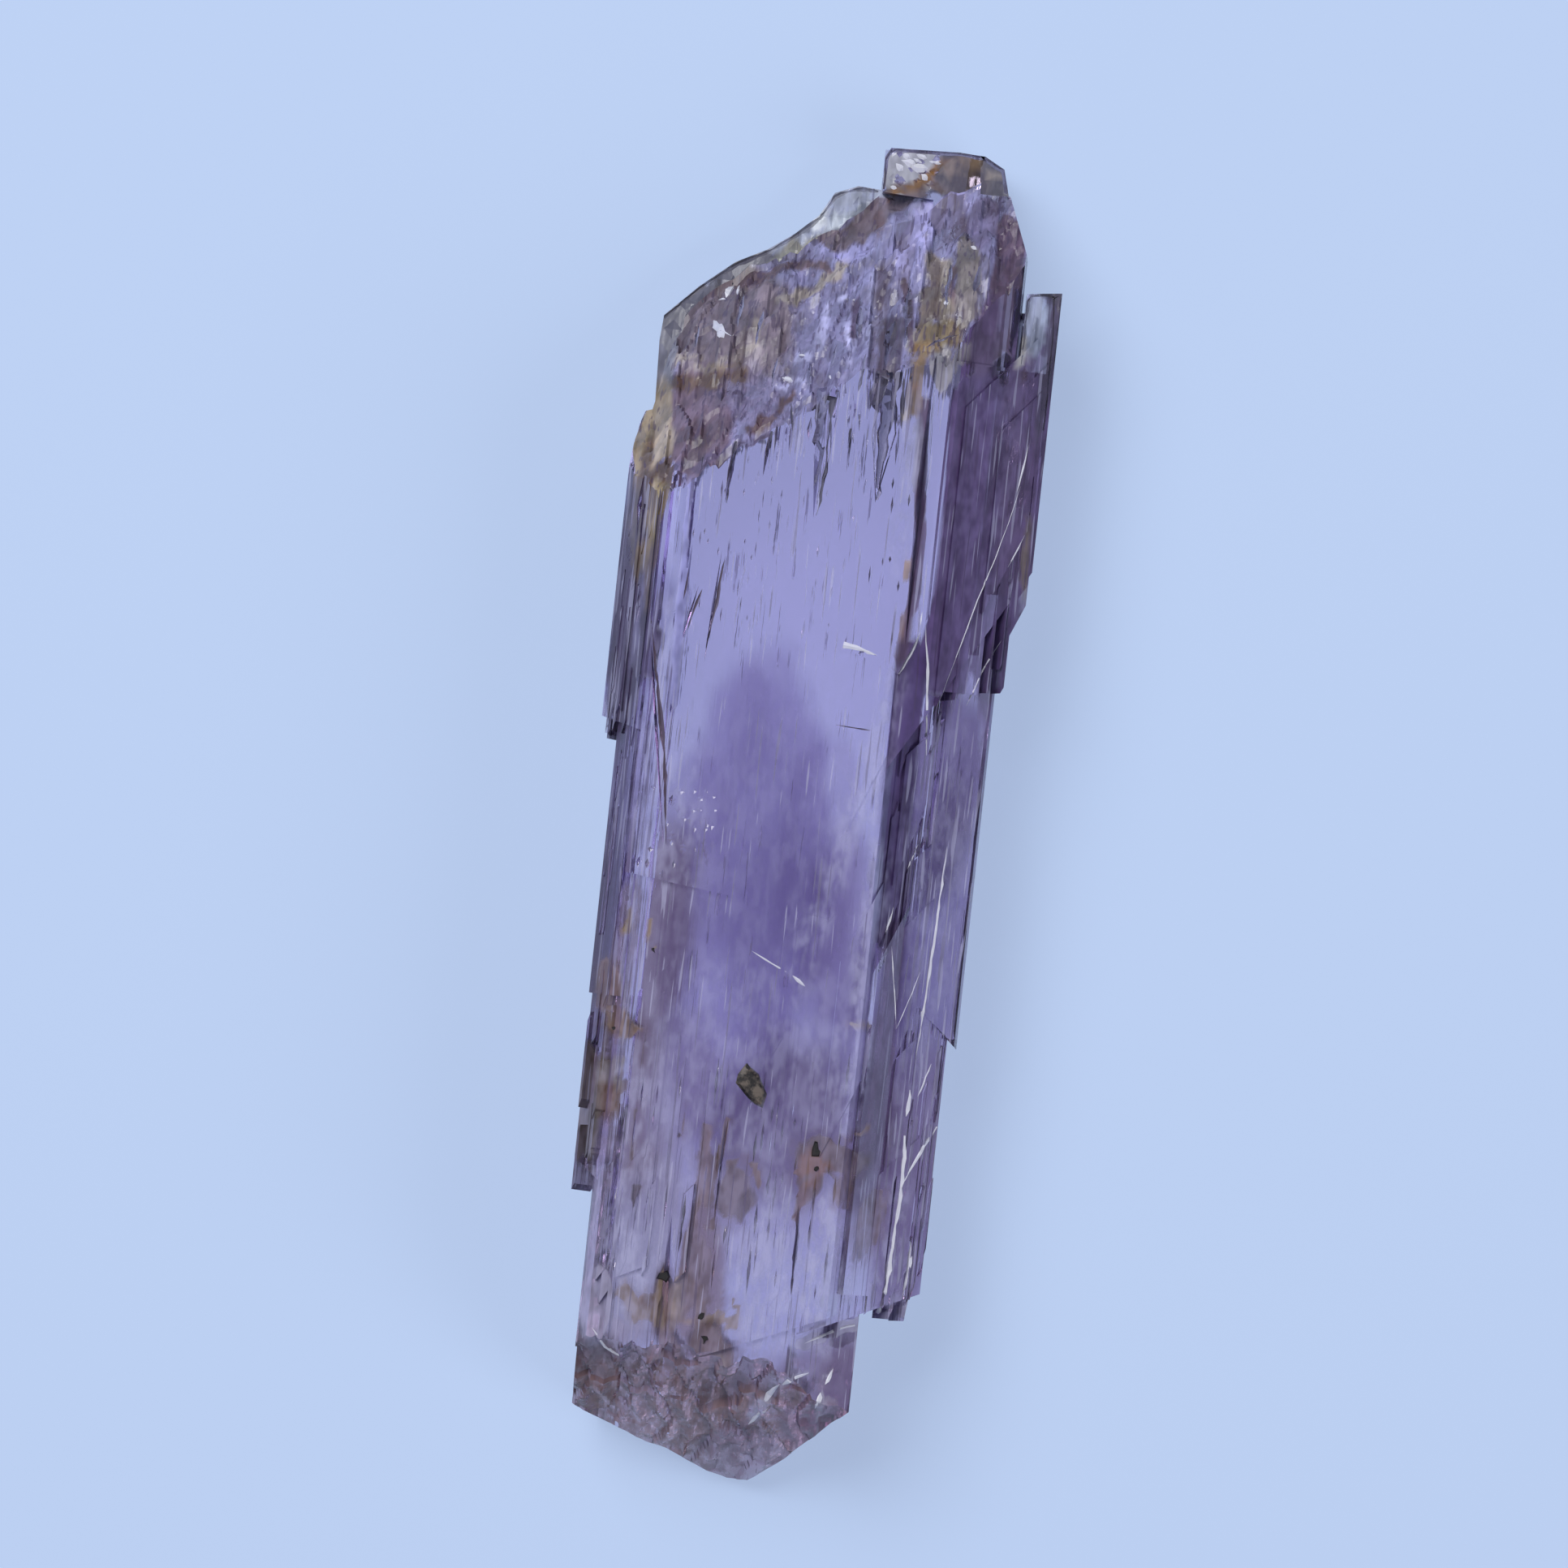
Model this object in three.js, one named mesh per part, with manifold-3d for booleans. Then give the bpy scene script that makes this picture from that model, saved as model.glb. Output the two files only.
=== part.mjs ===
// A violet kunzite (spodumene) crystal, 50 mm long, lying on its flat back face.
//
// Millimetres, +Z up. The crystal's long axis runs along Y, with the etched end at +Y and the
// broken end at -Y. The broad front face looks up and the flat back face rests on z = 0.
// The crystal grew as a bundle of parallel laths, so it is built as one: every lath is a prism
// along Y, all of them are joined, and then both ends, the pits and the cracks are cut.

import * as THREE from 'three';
import { mergeVertices } from 'three/addons/utils/BufferGeometryUtils.js';
import Module from 'manifold-3d';

const wasm = await Module();
wasm.setup();

// ---------------------------------------------------------------- driving dimensions, in mm

const HALF_LENGTH = 24.95; // the origin is in the middle of the length
const FRONT = 7.4; // height of the broad front face over the flat back face
const FRONT_LEFT = -6.1; // left edge of the front face
const LOWER_FRONT_RIGHT = 3.0; // right edge of the front face, beside the lower shoulder
const LEFT_SIDE = -7.6; // outermost edge of the left flank
const RIGHT_SIDE = 7.6; // outermost edge of the right flank
const SIDE_HEIGHT = 4.4; // height of the sharp right-hand side edge
const BACK_LEFT = -5.1; // left edge of the flat back face
const BACK_RIGHT = 3.7; // right edge of the flat back face, in the upper half
const LOWER_BACK_RIGHT = 5.3; // and in the lower half

// Slanted faces that smaller laths lie on, each from its inner to its outer edge, as [x, z].
const UPPER_FLANK = [[4.15, 7.2], [RIGHT_SIDE, SIDE_HEIGHT]];
const STEEP_FLANK = [[LOWER_FRONT_RIGHT, 7.1], [4.3, 5.9]];
const LOWER_FLANK = [[4.3, 5.9], [6.35, SIDE_HEIGHT]];
const LEFT_FLANK = [[-6.2, 7.2], [LEFT_SIDE, 5.4]];
const LEFT_LOW_FLANK = [[-6.2, 7.05], [-6.97, 6.0]];

// The etched end is cut by two steep faces, y = base + across * x + up * (FRONT - z).
const LEFT_SLOPE = { base: 16.15, across: 0.78, up: 1.11 };
const RIGHT_SLOPE = { base: 16.2, across: 0.35, up: 1.45 };
const SLOPE_RELIEF = 0.3; // how far the etched relief stands above and below those faces

// Lumps that the etching left on those faces, each with its middle and reach along X and Z.
const LUMPS = [
  { x: -4.5, z: 3.1, reachX: 2.4, reachZ: 1.9, height: 1.0 },
  { x: -5.3, z: 5.6, reachX: 1.5, reachZ: 1.2, height: 0.4 },
  { x: 4.1, z: 5.5, reachX: 1.1, reachZ: 1.2, height: 0.5 },
  { x: 1.6, z: 4.4, reachX: 1.6, reachZ: 0.8, height: 0.4 },
];
const CREST = { z: 3.4, lean: -0.35, reach: 0.5, height: 0.35, left: -3.9 }; // the slope's diagonal ridge

// Outline of the thin plate behind the etched slope, from its left edge to its right, as [x, y].
const PLATE_EDGE = [
  [-7.05, 16.9], [-6.98, 17.85], [-5.8, 19.05], [-4.55, 20.1], [-3.4, 20.7], [-2.45, 21.4],
  [-1.65, 22.15], [-1.15, 23.05], [-0.3, 23.4], [0.55, 23.35],
];

// The broken end: a chipped bevel under the front face, and two faces that meet in the low tip.
const CHIP = { base: -20.3, across: -0.08, up: 0.72 };
const TIP_X = 0.6; // where the two lower faces meet
const TIP_BASE = -25.3; // and how far down they would meet if the tip weren't blunt
const TIP_RISE_RIGHT = 0.98; // how fast the lower outline rises to the right of the tip
const TIP_RISE_LEFT = 0.4; // and to the left of it
const BREAK_RELIEF = 0.3;

const VIOLET = 0x9c8fd0;

// ---------------------------------------------------------------- making closed solids

/** Turns a closed three.js geometry into a manifold solid. */
function solid(geometry) {
  geometry.deleteAttribute('normal');
  geometry.deleteAttribute('uv');
  const merged = mergeVertices(geometry, 1e-4);
  return new wasm.Manifold(new wasm.Mesh({
    numProp: 3,
    vertProperties: new Float32Array(merged.attributes.position.array),
    triVerts: new Uint32Array(merged.index.array),
  }));
}

/** Moves every vertex of a geometry by a function of its x, y and z. */
function reshape(geometry, move) {
  const place = geometry.attributes.position;
  for (let i = 0; i < place.count; i += 1) {
    place.setXYZ(i, ...move(place.getX(i), place.getY(i), place.getZ(i)));
  }
  return geometry;
}

/** A closed outline from its corners. */
function outline(corners) {
  return new THREE.Shape(corners.map(([u, v]) => new THREE.Vector2(u, v)));
}

/**
 * A growth lath: a prism along Y with a section of [x, z] corners.
 * lowTilt and highTilt slant its ends, as mm along Y for each mm across X.
 */
function lath({ section, low, high, lowTilt = 0, highTilt = 0 }) {
  const prism = new THREE.ExtrudeGeometry(outline(section), { depth: 1, bevelEnabled: false });
  const middle = section.reduce((sum, [x]) => sum + x, 0) / section.length;
  return solid(reshape(prism, (x, z, along) => {
    const bottom = low + lowTilt * (x - middle);
    const top = high + highTilt * (x - middle);
    return [x, top + (bottom - top) * along, z];
  }));
}

/** A flat plate parallel to the front face, with an outline of [x, y] corners. */
function plate({ corners, bottom, top }) {
  const slab = new THREE.ExtrudeGeometry(outline(corners), {
    depth: top - bottom,
    bevelEnabled: false,
  });
  return solid(slab.translate(0, 0, bottom));
}

/** Height of a slanted face at x. */
function faceHeight([[innerX, innerZ], [outerX, outerZ]], x) {
  return innerZ + ((outerZ - innerZ) * (x - innerX)) / (outerX - innerX);
}

/** A thin lath lying on a slanted face, from one x to another, standing up by its rise. */
function scale({ face, from, to, rise, low, high, lowTilt = 2.4, highTilt = 1.2 }) {
  const root = 0.7;
  const atFrom = faceHeight(face, from);
  const atTo = faceHeight(face, to);
  return lath({
    section: [[from, atFrom - root], [from, atFrom + rise], [to, atTo + rise], [to, atTo - root]],
    low,
    high,
    lowTilt,
    highTilt,
  });
}

/** A V-shaped furrow along Y, pointed at both ends. */
function furrow({ x, z = FRONT, width, depth, low, high, lean = 0 }) {
  const body = new THREE.OctahedronGeometry(1, 0);
  const half = (high - low) / 2;
  return solid(reshape(body, (a, b, c) => [
    x + (a * width) / 2 + lean * b * half,
    (low + high) / 2 + b * half,
    z + c * depth,
  ]));
}

/** A block that covers everything beyond an uneven surface y = height(x, z), up or down Y. */
function endCutter(height, direction, across, through) {
  const reach = 60;
  const block = new THREE.BoxGeometry(17, 2, 10, across, 1, through);
  return solid(reshape(block, (x, y, z) => {
    const deep = z + 4;
    const beyond = y * direction > 0;
    return [x, beyond ? direction * reach : height(x, deep), deep];
  }));
}

/** A wave that climbs slowly and drops sharply, between -1 and 1, like a stair of ledges. */
function stair(value) {
  return 2 * (value - Math.floor(value)) - 1;
}

/** Etched relief between about -1 and 1: broad lumps, ledges up the slope and narrow ribs along it. */
function etching(u, v) {
  const sway = 0.35 * Math.sin(1.1 * v + 0.4 * u);
  const broad = Math.sin(1.15 * u + 1.3 * sway) * Math.cos(0.75 * v - 0.3 * u);
  const ledges = stair(0.62 * u + sway + 0.12 * v);
  const ribs = Math.abs(Math.sin(2.9 * u + 0.9 * Math.sin(1.7 * v))) - 0.6;
  const pits = Math.max(0, Math.sin(3.7 * u + v) * Math.sin(2.3 * v - 0.8 * u) - 0.45);
  return 0.45 * broad + 0.35 * ledges + 0.5 * ribs - 0.9 * pits;
}

// ---------------------------------------------------------------- the crystal's parts

/** The main prism: it carries everything else and reaches both ends. */
function core() {
  return lath({
    section: [
      [-5.7, FRONT - 0.25], [1.7, FRONT - 0.25], [2.6, 6.4], [4.2, 5.5],
      [4.2, 0.9], [BACK_RIGHT, 0], [BACK_LEFT, 0], [-6.0, 2.2], [-6.0, 6.7],
    ],
    low: -HALF_LENGTH - 1,
    high: HALF_LENGTH,
  });
}

/** The laths that carry the broad front face, each ending in its own step. */
function frontLaths() {
  return [
    lath({
      section: [[FRONT_LEFT, 5], [FRONT_LEFT, FRONT - 0.1], [-5.95, FRONT], [1.5, FRONT], [1.5, 5]],
      low: -3.2,
      high: 18,
      lowTilt: -0.12,
    }),
    lath({
      section: [[-2.2, 4], [-2.2, FRONT - 0.02], [LOWER_FRONT_RIGHT, FRONT - 0.02], [3.6, 6.4], [3.6, 4]],
      low: -19.1,
      high: 18,
      lowTilt: 0.42,
    }),
    lath({
      section: [[-5.2, 5], [-5.2, FRONT - 0.12], [-3.9, FRONT - 0.12], [-3.9, 5]],
      low: -17.5,
      high: -6.5,
      lowTilt: 0.5,
      highTilt: 1.1,
    }),
    lath({
      section: [[1.6, 6.5], [1.8, FRONT + 0.02], [2.95, FRONT + 0.05], [3.4, 6.8], [3.4, 6.5]],
      low: 1.6,
      high: 7,
      lowTilt: 2.5,
    }),
    lath({
      section: [[1.9, 6.5], [2.1, FRONT + 0.04], [3.1, FRONT + 0.02], [3.4, 6.8], [3.4, 6.5]],
      low: -10.8,
      high: -3.6,
      lowTilt: 2.4,
      highTilt: 2.4,
    }),
  ];
}

/** The raised sliver at the upper right of the front face, with its V-shaped broken foot. */
function frontSliver() {
  return [
    lath({
      section: [[0.8, 6.8], [0.8, FRONT], [3.05, FRONT + 0.14], [3.05, 6.8]],
      low: 5.85,
      high: 18,
      lowTilt: -0.36,
    }),
    lath({
      section: [[3.05, 6.8], [3.05, FRONT + 0.14], [3.85, FRONT + 0.1], [4.1, 6.8]],
      low: 6.6,
      high: 18,
      lowTilt: 2.5,
    }),
  ];
}

/** The upper right flank: the wide dark face, which ends below in a long oblique ledge. */
function upperFlank() {
  return [
    lath({
      section: [
        [2, 7.35], [3.4, 7.35], ...UPPER_FLANK,
        [RIGHT_SIDE - 0.15, 3.7], [BACK_RIGHT + 0.1, 0], [2, 0],
      ],
      low: 4.2,
      high: 17.1,
      lowTilt: 1.7,
    }),
    lath({
      section: [[2.5, 7.1], [4.1, 7.1], [6.1, 5.5], [6.2, 4.2], [4.2, 0.6], [2.5, 0.6]],
      low: 5,
      high: 23.5,
    }),
    scale({ face: UPPER_FLANK, from: 4.5, to: 6.9, rise: 0.09, low: 8.4, high: 16.9, lowTilt: 3.6 }),
    scale({ face: UPPER_FLANK, from: 5.9, to: 7.25, rise: 0.16, low: 9.6, high: 15.6 }),
    scale({ face: UPPER_FLANK, from: 6.6, to: 7.4, rise: 0.1, low: 12.6, high: 17.0 }),
    scale({ face: UPPER_FLANK, from: 7.0, to: 7.5, rise: 0.05, low: 7.9, high: 13.8 }),
  ];
}

/** The thin clear lath that stands up beside the notch, like a finger. */
function finger() {
  return lath({
    section: [[6.3, 3.5], [6.3, 5.2], [6.9, 4.98], [RIGHT_SIDE, SIDE_HEIGHT], [7.45, 3.7], [6.9, 3.3]],
    low: 12,
    high: 20.0,
    highTilt: 0.15,
  });
}

/** The lower right shoulder and the laths along it, in ledges down to its oblique foot. */
function lowerShoulder() {
  return [
    lath({
      section: [[0, 7.1], ...STEEP_FLANK, LOWER_FLANK[1], [6.3, 3.3], [LOWER_BACK_RIGHT, 0], [0, 0]],
      low: -18.35,
      high: 6.5,
      lowTilt: 0.42,
    }),
    lath({
      section: [[4.4, 5.3], [5.0, 5.6], [6.62, 4.6], [6.72, 4.1], [6.5, 3.0], [5.0, 0.7], [4.4, 0.7]],
      low: -7.0,
      high: 8.8,
      lowTilt: -0.9,
    }),
    lath({
      section: [[3.0, 6.4], [3.5, FRONT - 0.1], [3.9, 6.8], [4.5, 5.9], [4.5, 4], [3.0, 4]],
      low: -17.4,
      high: -4.6,
      highTilt: 2.4,
    }),
  ];
}

/** The thin laths on the lower right flank, whose oblique feet make its zigzag ledges. */
function lowerScales() {
  return [
    scale({ face: STEEP_FLANK, from: 3.5, to: 4.45, rise: 0.14, low: 3.6, high: 8.0, lowTilt: 4 }),
    scale({ face: STEEP_FLANK, from: 3.7, to: 4.5, rise: 0.2, low: -1.0, high: 3.0, lowTilt: 3.2 }),
    scale({ face: STEEP_FLANK, from: 3.4, to: 4.1, rise: 0.12, low: -3.6, high: 0.6, lowTilt: 3 }),
    scale({ face: LOWER_FLANK, from: 4.4, to: 5.55, rise: 0.2, low: -4.9, high: -0.6, lowTilt: 2.6 }),
    scale({ face: LOWER_FLANK, from: 4.3, to: 5.3, rise: 0.3, low: -7.6, high: -3.2, lowTilt: 3.4 }),
    scale({ face: LOWER_FLANK, from: 5.2, to: 6.1, rise: 0.16, low: -11.6, high: -6.2, lowTilt: 2.4 }),
    scale({ face: LOWER_FLANK, from: 4.5, to: 5.2, rise: 0.26, low: -13.6, high: -8.2, lowTilt: 4.5 }),
    scale({ face: LOWER_FLANK, from: 5.0, to: 5.75, rise: 0.22, low: -17.1, high: -11.8, lowTilt: 2 }),
    scale({ face: LOWER_FLANK, from: 4.35, to: 4.95, rise: 0.3, low: -17.8, high: -12.6, lowTilt: 1 }),
    scale({ face: LOWER_FLANK, from: 5.6, to: 6.5, rise: 0.18, low: -1.4, high: 5.2, lowTilt: 2.4 }),
    scale({ face: LOWER_FLANK, from: 5.9, to: 6.45, rise: 0.26, low: -4.8, high: 1.6, lowTilt: 2.4 }),
  ];
}

/** The laths along the left flank, which step in towards the lower end. */
function leftFlank() {
  return [
    lath({
      section: [[-5, 7.2], ...LEFT_FLANK, [-7.5, 4.5], [-5.9, 0.3], [-4.5, 0.3]],
      low: 2.4,
      high: 14.5,
      lowTilt: -0.25,
      highTilt: 0.3,
    }),
    lath({
      section: [[-5, 6.9], [-6.4, 6.9], [-7.1, 5.7], [-7.08, 4.2], [-6.0, 1.0], [-4.5, 0.5]],
      low: 10,
      high: 18.4,
      highTilt: 0.6,
    }),
    lath({
      section: [[-5, 7.05], ...LEFT_LOW_FLANK, [-6.9, 4.4], [-5.7, 0.25], [-4.5, 0.25]],
      low: -7.4,
      high: 4.5,
    }),
    lath({
      section: [[-5, 6.6], [-6.3, 6.4], [-6.85, 5.5], [-6.82, 3.9], [-5.9, 1.2], [-4.5, 0.6]],
      low: -14.2,
      high: -5.0,
      lowTilt: -0.75,
      highTilt: 1.2,
    }),
    lath({
      section: [[-5.6, 6.2], [-5.9, 6.7], [-6.06, 6.2], [-6.08, 5.2], [-5.6, 5]],
      low: -20.4,
      high: -10.0,
    }),
  ];
}

/** The thin laths on the left flank. */
function leftScales() {
  return [
    scale({ face: LEFT_FLANK, from: -6.35, to: -6.75, rise: 0.14, low: 4.4, high: 12.6, lowTilt: -2 }),
    scale({ face: LEFT_FLANK, from: -6.9, to: -7.3, rise: 0.12, low: 3.4, high: 9.4, lowTilt: -2 }),
    scale({ face: LEFT_FLANK, from: -7.0, to: -7.4, rise: 0.14, low: 9.0, high: 14.0, lowTilt: -2 }),
    scale({ face: LEFT_LOW_FLANK, from: -6.3, to: -6.6, rise: 0.14, low: -6.6, high: 1.4, lowTilt: -2 }),
    scale({ face: LEFT_LOW_FLANK, from: -6.2, to: -6.5, rise: -0.3, low: -12.4, high: -6.0, lowTilt: -2 }),
  ];
}

/** The steps along the back edges, with the flat back face left clear between them. */
function backSteps() {
  return [
    lath({
      section: [[-4, 2.9], [-4, 0.35], [-5.9, 0.35], [-6.4, 1.5], [-6.3, 2.9]],
      low: -11.5,
      high: 4.5,
      lowTilt: -0.7,
      highTilt: 0.9,
    }),
    lath({
      section: [[4, 2.4], [4, 0.3], [5.8, 0.5], [6.1, 1.6], [5.9, 2.4]],
      low: -12.2,
      high: -2.4,
      lowTilt: 1.4,
      highTilt: -1.1,
    }),
  ];
}

/** The thin clear plate that stands up behind the etched slope. */
function backPlate() {
  return plate({ corners: [[-6.9, 13], ...PLATE_EDGE, [0.9, 23.3], [0.9, 13]], bottom: 0.3, top: 1.55 });
}

/** The small clear block at the summit. */
function summitBlock() {
  return plate({
    corners: [
      [0.6, 23.2], [0.55, 24.5], [0.75, 24.85], [3.3, HALF_LENGTH], [4.25, 24.9], [5.0, 24.5], [5.3, 23.4],
      [5.3, 21.5], [2.7, 21.5], [2.5, 23.1],
    ],
    bottom: 0.9,
    top: 3.1,
  });
}

// ---------------------------------------------------------------- what is cut away

/** How far the lumps and the diagonal ridge stand out of the etched end at a place on it. */
function lumps(x, z) {
  const domes = LUMPS.map((lump) => {
    const away = Math.hypot((x - lump.x) / lump.reachX, (z - lump.z) / lump.reachZ);
    return lump.height * Math.sqrt(Math.max(0, 1 - away * away));
  });
  const offCrest = Math.abs(z - CREST.z - CREST.lean * x);
  const crest = x > CREST.left ? CREST.height * Math.max(0, 1 - offCrest / CREST.reach) : 0;
  return Math.max(crest, ...domes);
}

/** Everything beyond the etched end: its two steep faces, with their lumps and relief. */
function beyondEtchedEnd() {
  const face = ({ base, across, up }, x, z) => base + across * x + up * (FRONT - z);
  return endCutter((x, z) => {
    const plane = Math.min(face(LEFT_SLOPE, x, z), face(RIGHT_SLOPE, x, z));
    return plane + lumps(x, z) + SLOPE_RELIEF * etching(x, z);
  }, 1, 60, 34);
}

/** Everything beyond the plate's outline, so that the foot of the slope doesn't stick out under it. */
function beyondPlate() {
  const setBack = 0.12;
  const edge = PLATE_EDGE.map(([x, y]) => [x, y - setBack]);
  return plate({ corners: [[-20, 16.9], ...edge, [0.55, 40], [-20, 40]], bottom: -1, top: 9 });
}

/** The corner that the etching took off the summit, towards the right side. */
function beyondSummitCorner() {
  return endCutter((x) => 22.5 - 2.7 * (x - 5.7), 1, 2, 2);
}

/** Everything beyond the broken end: the chipped bevel and the two faces of the tip. */
function beyondBrokenEnd() {
  const bevel = (x, z) => CHIP.base + CHIP.across * x - CHIP.up * (FRONT - z);
  const tip = (x) => {
    const rise = x > TIP_X ? TIP_RISE_RIGHT : -TIP_RISE_LEFT;
    return TIP_BASE + rise * (x - TIP_X);
  };
  return [
    endCutter((x, z) => bevel(x, z) + BREAK_RELIEF * etching(1.1 * x + 4, z), -1, 34, 20),
    endCutter((x, z) => Math.max(tip(x) + 0.14 * etching(x - 2, z + 5), -HALF_LENGTH), -1, 22, 8),
  ];
}

/** The hollow that was scooped out of the right of the broken end. */
function brokenScoop() {
  const scoop = new THREE.IcosahedronGeometry(1, 1);
  return solid(reshape(scoop, (a, b, c) => [3.3 + 2.0 * a, -22.3 + 2.2 * b, 7.9 + 1.9 * c]));
}

/** The lance-shaped pits that reach down from the etched end into the front face. */
function lancePits() {
  return [
    furrow({ x: -3.85, width: 0.22, depth: 0.35, low: 11.0, high: 13.4, lean: 0.06 }),
    furrow({ x: -2.6, width: 0.16, depth: 0.25, low: 12.1, high: 13.9, lean: 0.06 }),
    furrow({ x: -0.6, width: 0.6, depth: 0.65, low: 10.8, high: 15.8, lean: 0.02 }),
    furrow({ x: -0.25, width: 0.3, depth: 0.4, low: 13.2, high: 15.9, lean: 0.03 }),
    furrow({ x: 0.4, width: 0.18, depth: 0.25, low: 12.6, high: 14.4, lean: 0.02 }),
    furrow({ x: 1.6, width: 0.9, depth: 0.55, low: 11.6, high: 16.8, lean: 0.02 }),
    furrow({ x: -1.4, width: 0.28, depth: 0.3, low: 14.0, high: 15.8, lean: 0.04 }),
    furrow({ x: 0.95, width: 0.4, depth: 0.45, low: 14.6, high: 17.4, lean: 0.02 }),
  ];
}

/** Long narrow cracks and furrows that run nearly along the axis. */
function cracks() {
  return [
    furrow({ x: -5.55, width: 0.12, depth: 0.22, low: -1.7, high: 6.9, lean: -0.17 }),
    furrow({ x: -3.95, width: 0.1, depth: 0.2, low: 5.1, high: 9.3, lean: 0.05 }),
    furrow({ x: -4.75, width: 0.09, depth: 0.18, low: 5.9, high: 7.9, lean: 0.2 }),
    furrow({ x: 3.2, z: FRONT + 0.1, width: 0.42, depth: 0.6, low: 6.2, high: 19.0 }),
    furrow({ x: 1.6, width: 0.18, depth: 0.3, low: -17.7, high: -14.2 }),
    furrow({ x: -1.45, width: 0.18, depth: 0.25, low: -15.4, high: -11.2 }),
    furrow({ x: -4.6, z: FRONT - 0.12, width: 0.14, depth: 0.2, low: -13.7, high: -10.7 }),
    furrow({ x: -2.9, z: FRONT - 0.25, width: 0.5, depth: 0.35, low: -20.0, high: -15.2, lean: -0.06 }),
  ];
}

/** Pits in the back bevels and along the left flank. */
function flankPits() {
  return [
    furrow({ x: -7.0, z: 6.3, width: 0.5, depth: 0.35, low: 9.3, high: 11.9 }),
    furrow({ x: -6.7, z: 6.8, width: 0.4, depth: 0.3, low: 5.9, high: 8.1 }),
    furrow({ x: -6.5, z: 6.0, width: 0.5, depth: 0.35, low: -11, high: -8.2 }),
    furrow({ x: -6.6, z: 2.2, width: 0.7, depth: 0.5, low: 2.6, high: 7.8 }),
    furrow({ x: 6.15, z: 1.7, width: 0.6, depth: 0.5, low: -11.2, high: -5.2 }),
    furrow({ x: -6.1, z: 2.6, width: 0.5, depth: 0.4, low: -17.5, high: -13.3 }),
  ];
}

// ---------------------------------------------------------------- the finished crystal

/** Joins the laths, then cuts the ends, pits and cracks. */
function crystalSolid() {
  const grown = wasm.Manifold.union([
    core(),
    ...frontLaths(),
    ...frontSliver(),
    ...upperFlank(),
    ...lowerShoulder(),
    ...lowerScales(),
    ...leftFlank(),
    ...leftScales(),
    ...backSteps(),
  ]);
  const etched = [beyondEtchedEnd(), beyondPlate(), beyondSummitCorner()];
  const sloped = etched.reduce((left, cutter) => left.subtract(cutter), grown);
  const shaped = sloped.add(finger()).add(backPlate()).add(summitBlock());
  const removed = [
    ...beyondBrokenEnd(),
    brokenScoop(),
    ...lancePits(),
    ...cracks(),
    ...flankPits(),
  ];
  return removed.reduce((left, cutter) => left.subtract(cutter), shaped).simplify(0.004);
}

/** The triangles of a manifold solid as a three.js geometry. */
function geometryOf(body) {
  const { vertProperties, triVerts } = body.getMesh();
  const geometry = new THREE.BufferGeometry();
  geometry.setAttribute('position', new THREE.BufferAttribute(vertProperties, 3));
  geometry.setIndex(new THREE.BufferAttribute(triVerts, 1));
  geometry.computeVertexNormals();
  return geometry;
}

const crystal = new THREE.Mesh(
  geometryOf(crystalSolid()),
  new THREE.MeshStandardMaterial({ color: VIOLET, roughness: 0.12, metalness: 0 }),
);
crystal.name = 'kunzite_crystal';

const group = new THREE.Group();
group.add(crystal);

export default group;
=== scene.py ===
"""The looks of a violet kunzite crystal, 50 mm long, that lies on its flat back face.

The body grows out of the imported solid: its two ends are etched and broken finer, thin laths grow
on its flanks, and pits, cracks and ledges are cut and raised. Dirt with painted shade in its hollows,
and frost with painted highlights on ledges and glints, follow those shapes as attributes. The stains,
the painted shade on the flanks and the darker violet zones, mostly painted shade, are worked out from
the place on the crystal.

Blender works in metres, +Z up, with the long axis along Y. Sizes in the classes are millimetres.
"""

from __future__ import annotations

import logging
import math
from bisect import bisect_right
from collections.abc import Callable, Iterable, Mapping, Sequence
from dataclasses import dataclass, field
from enum import Enum
from typing import Any

import bmesh
import bpy
import numpy as np
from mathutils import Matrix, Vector, noise
from mathutils.bvhtree import BVHTree


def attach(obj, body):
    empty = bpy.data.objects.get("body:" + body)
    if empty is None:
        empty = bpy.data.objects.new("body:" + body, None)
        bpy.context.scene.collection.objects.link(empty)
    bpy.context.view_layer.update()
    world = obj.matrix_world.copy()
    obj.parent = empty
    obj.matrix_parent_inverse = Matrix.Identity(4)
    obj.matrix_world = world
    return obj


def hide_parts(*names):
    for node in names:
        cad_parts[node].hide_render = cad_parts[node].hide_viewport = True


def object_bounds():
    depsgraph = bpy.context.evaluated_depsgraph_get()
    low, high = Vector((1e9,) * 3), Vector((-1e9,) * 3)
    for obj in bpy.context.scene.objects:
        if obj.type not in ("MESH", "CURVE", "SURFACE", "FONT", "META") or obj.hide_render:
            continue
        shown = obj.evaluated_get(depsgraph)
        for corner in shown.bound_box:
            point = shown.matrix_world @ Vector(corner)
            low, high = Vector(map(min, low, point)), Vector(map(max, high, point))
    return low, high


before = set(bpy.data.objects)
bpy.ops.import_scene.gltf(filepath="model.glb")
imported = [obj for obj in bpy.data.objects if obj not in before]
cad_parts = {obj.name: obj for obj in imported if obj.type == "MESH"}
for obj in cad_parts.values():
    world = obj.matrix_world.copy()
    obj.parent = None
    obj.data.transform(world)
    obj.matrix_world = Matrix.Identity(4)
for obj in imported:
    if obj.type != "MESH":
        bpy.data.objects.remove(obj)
CAD_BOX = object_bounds()

log = logging.getLogger("kunzite")

MM = 0.001  # metres in a millimetre
ABOVE = 20.0  # a height well above the crystal
BEYOND = 40.0  # a distance well past either end
CLEAR = 8.0  # a distance just past the sides and the front face
NODE = "kunzite_crystal"
BODY = "root"

Colour = tuple[float, float, float]
Place = tuple[float, float]
Spot = tuple[float, float, float]


def linear(value: float) -> float:
    """One channel of a colour, from its display value of 0 to 255 to linear light."""
    share = value / 255
    return share / 12.92 if share <= 0.04045 else ((share + 0.055) / 1.055) ** 2.4


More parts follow.
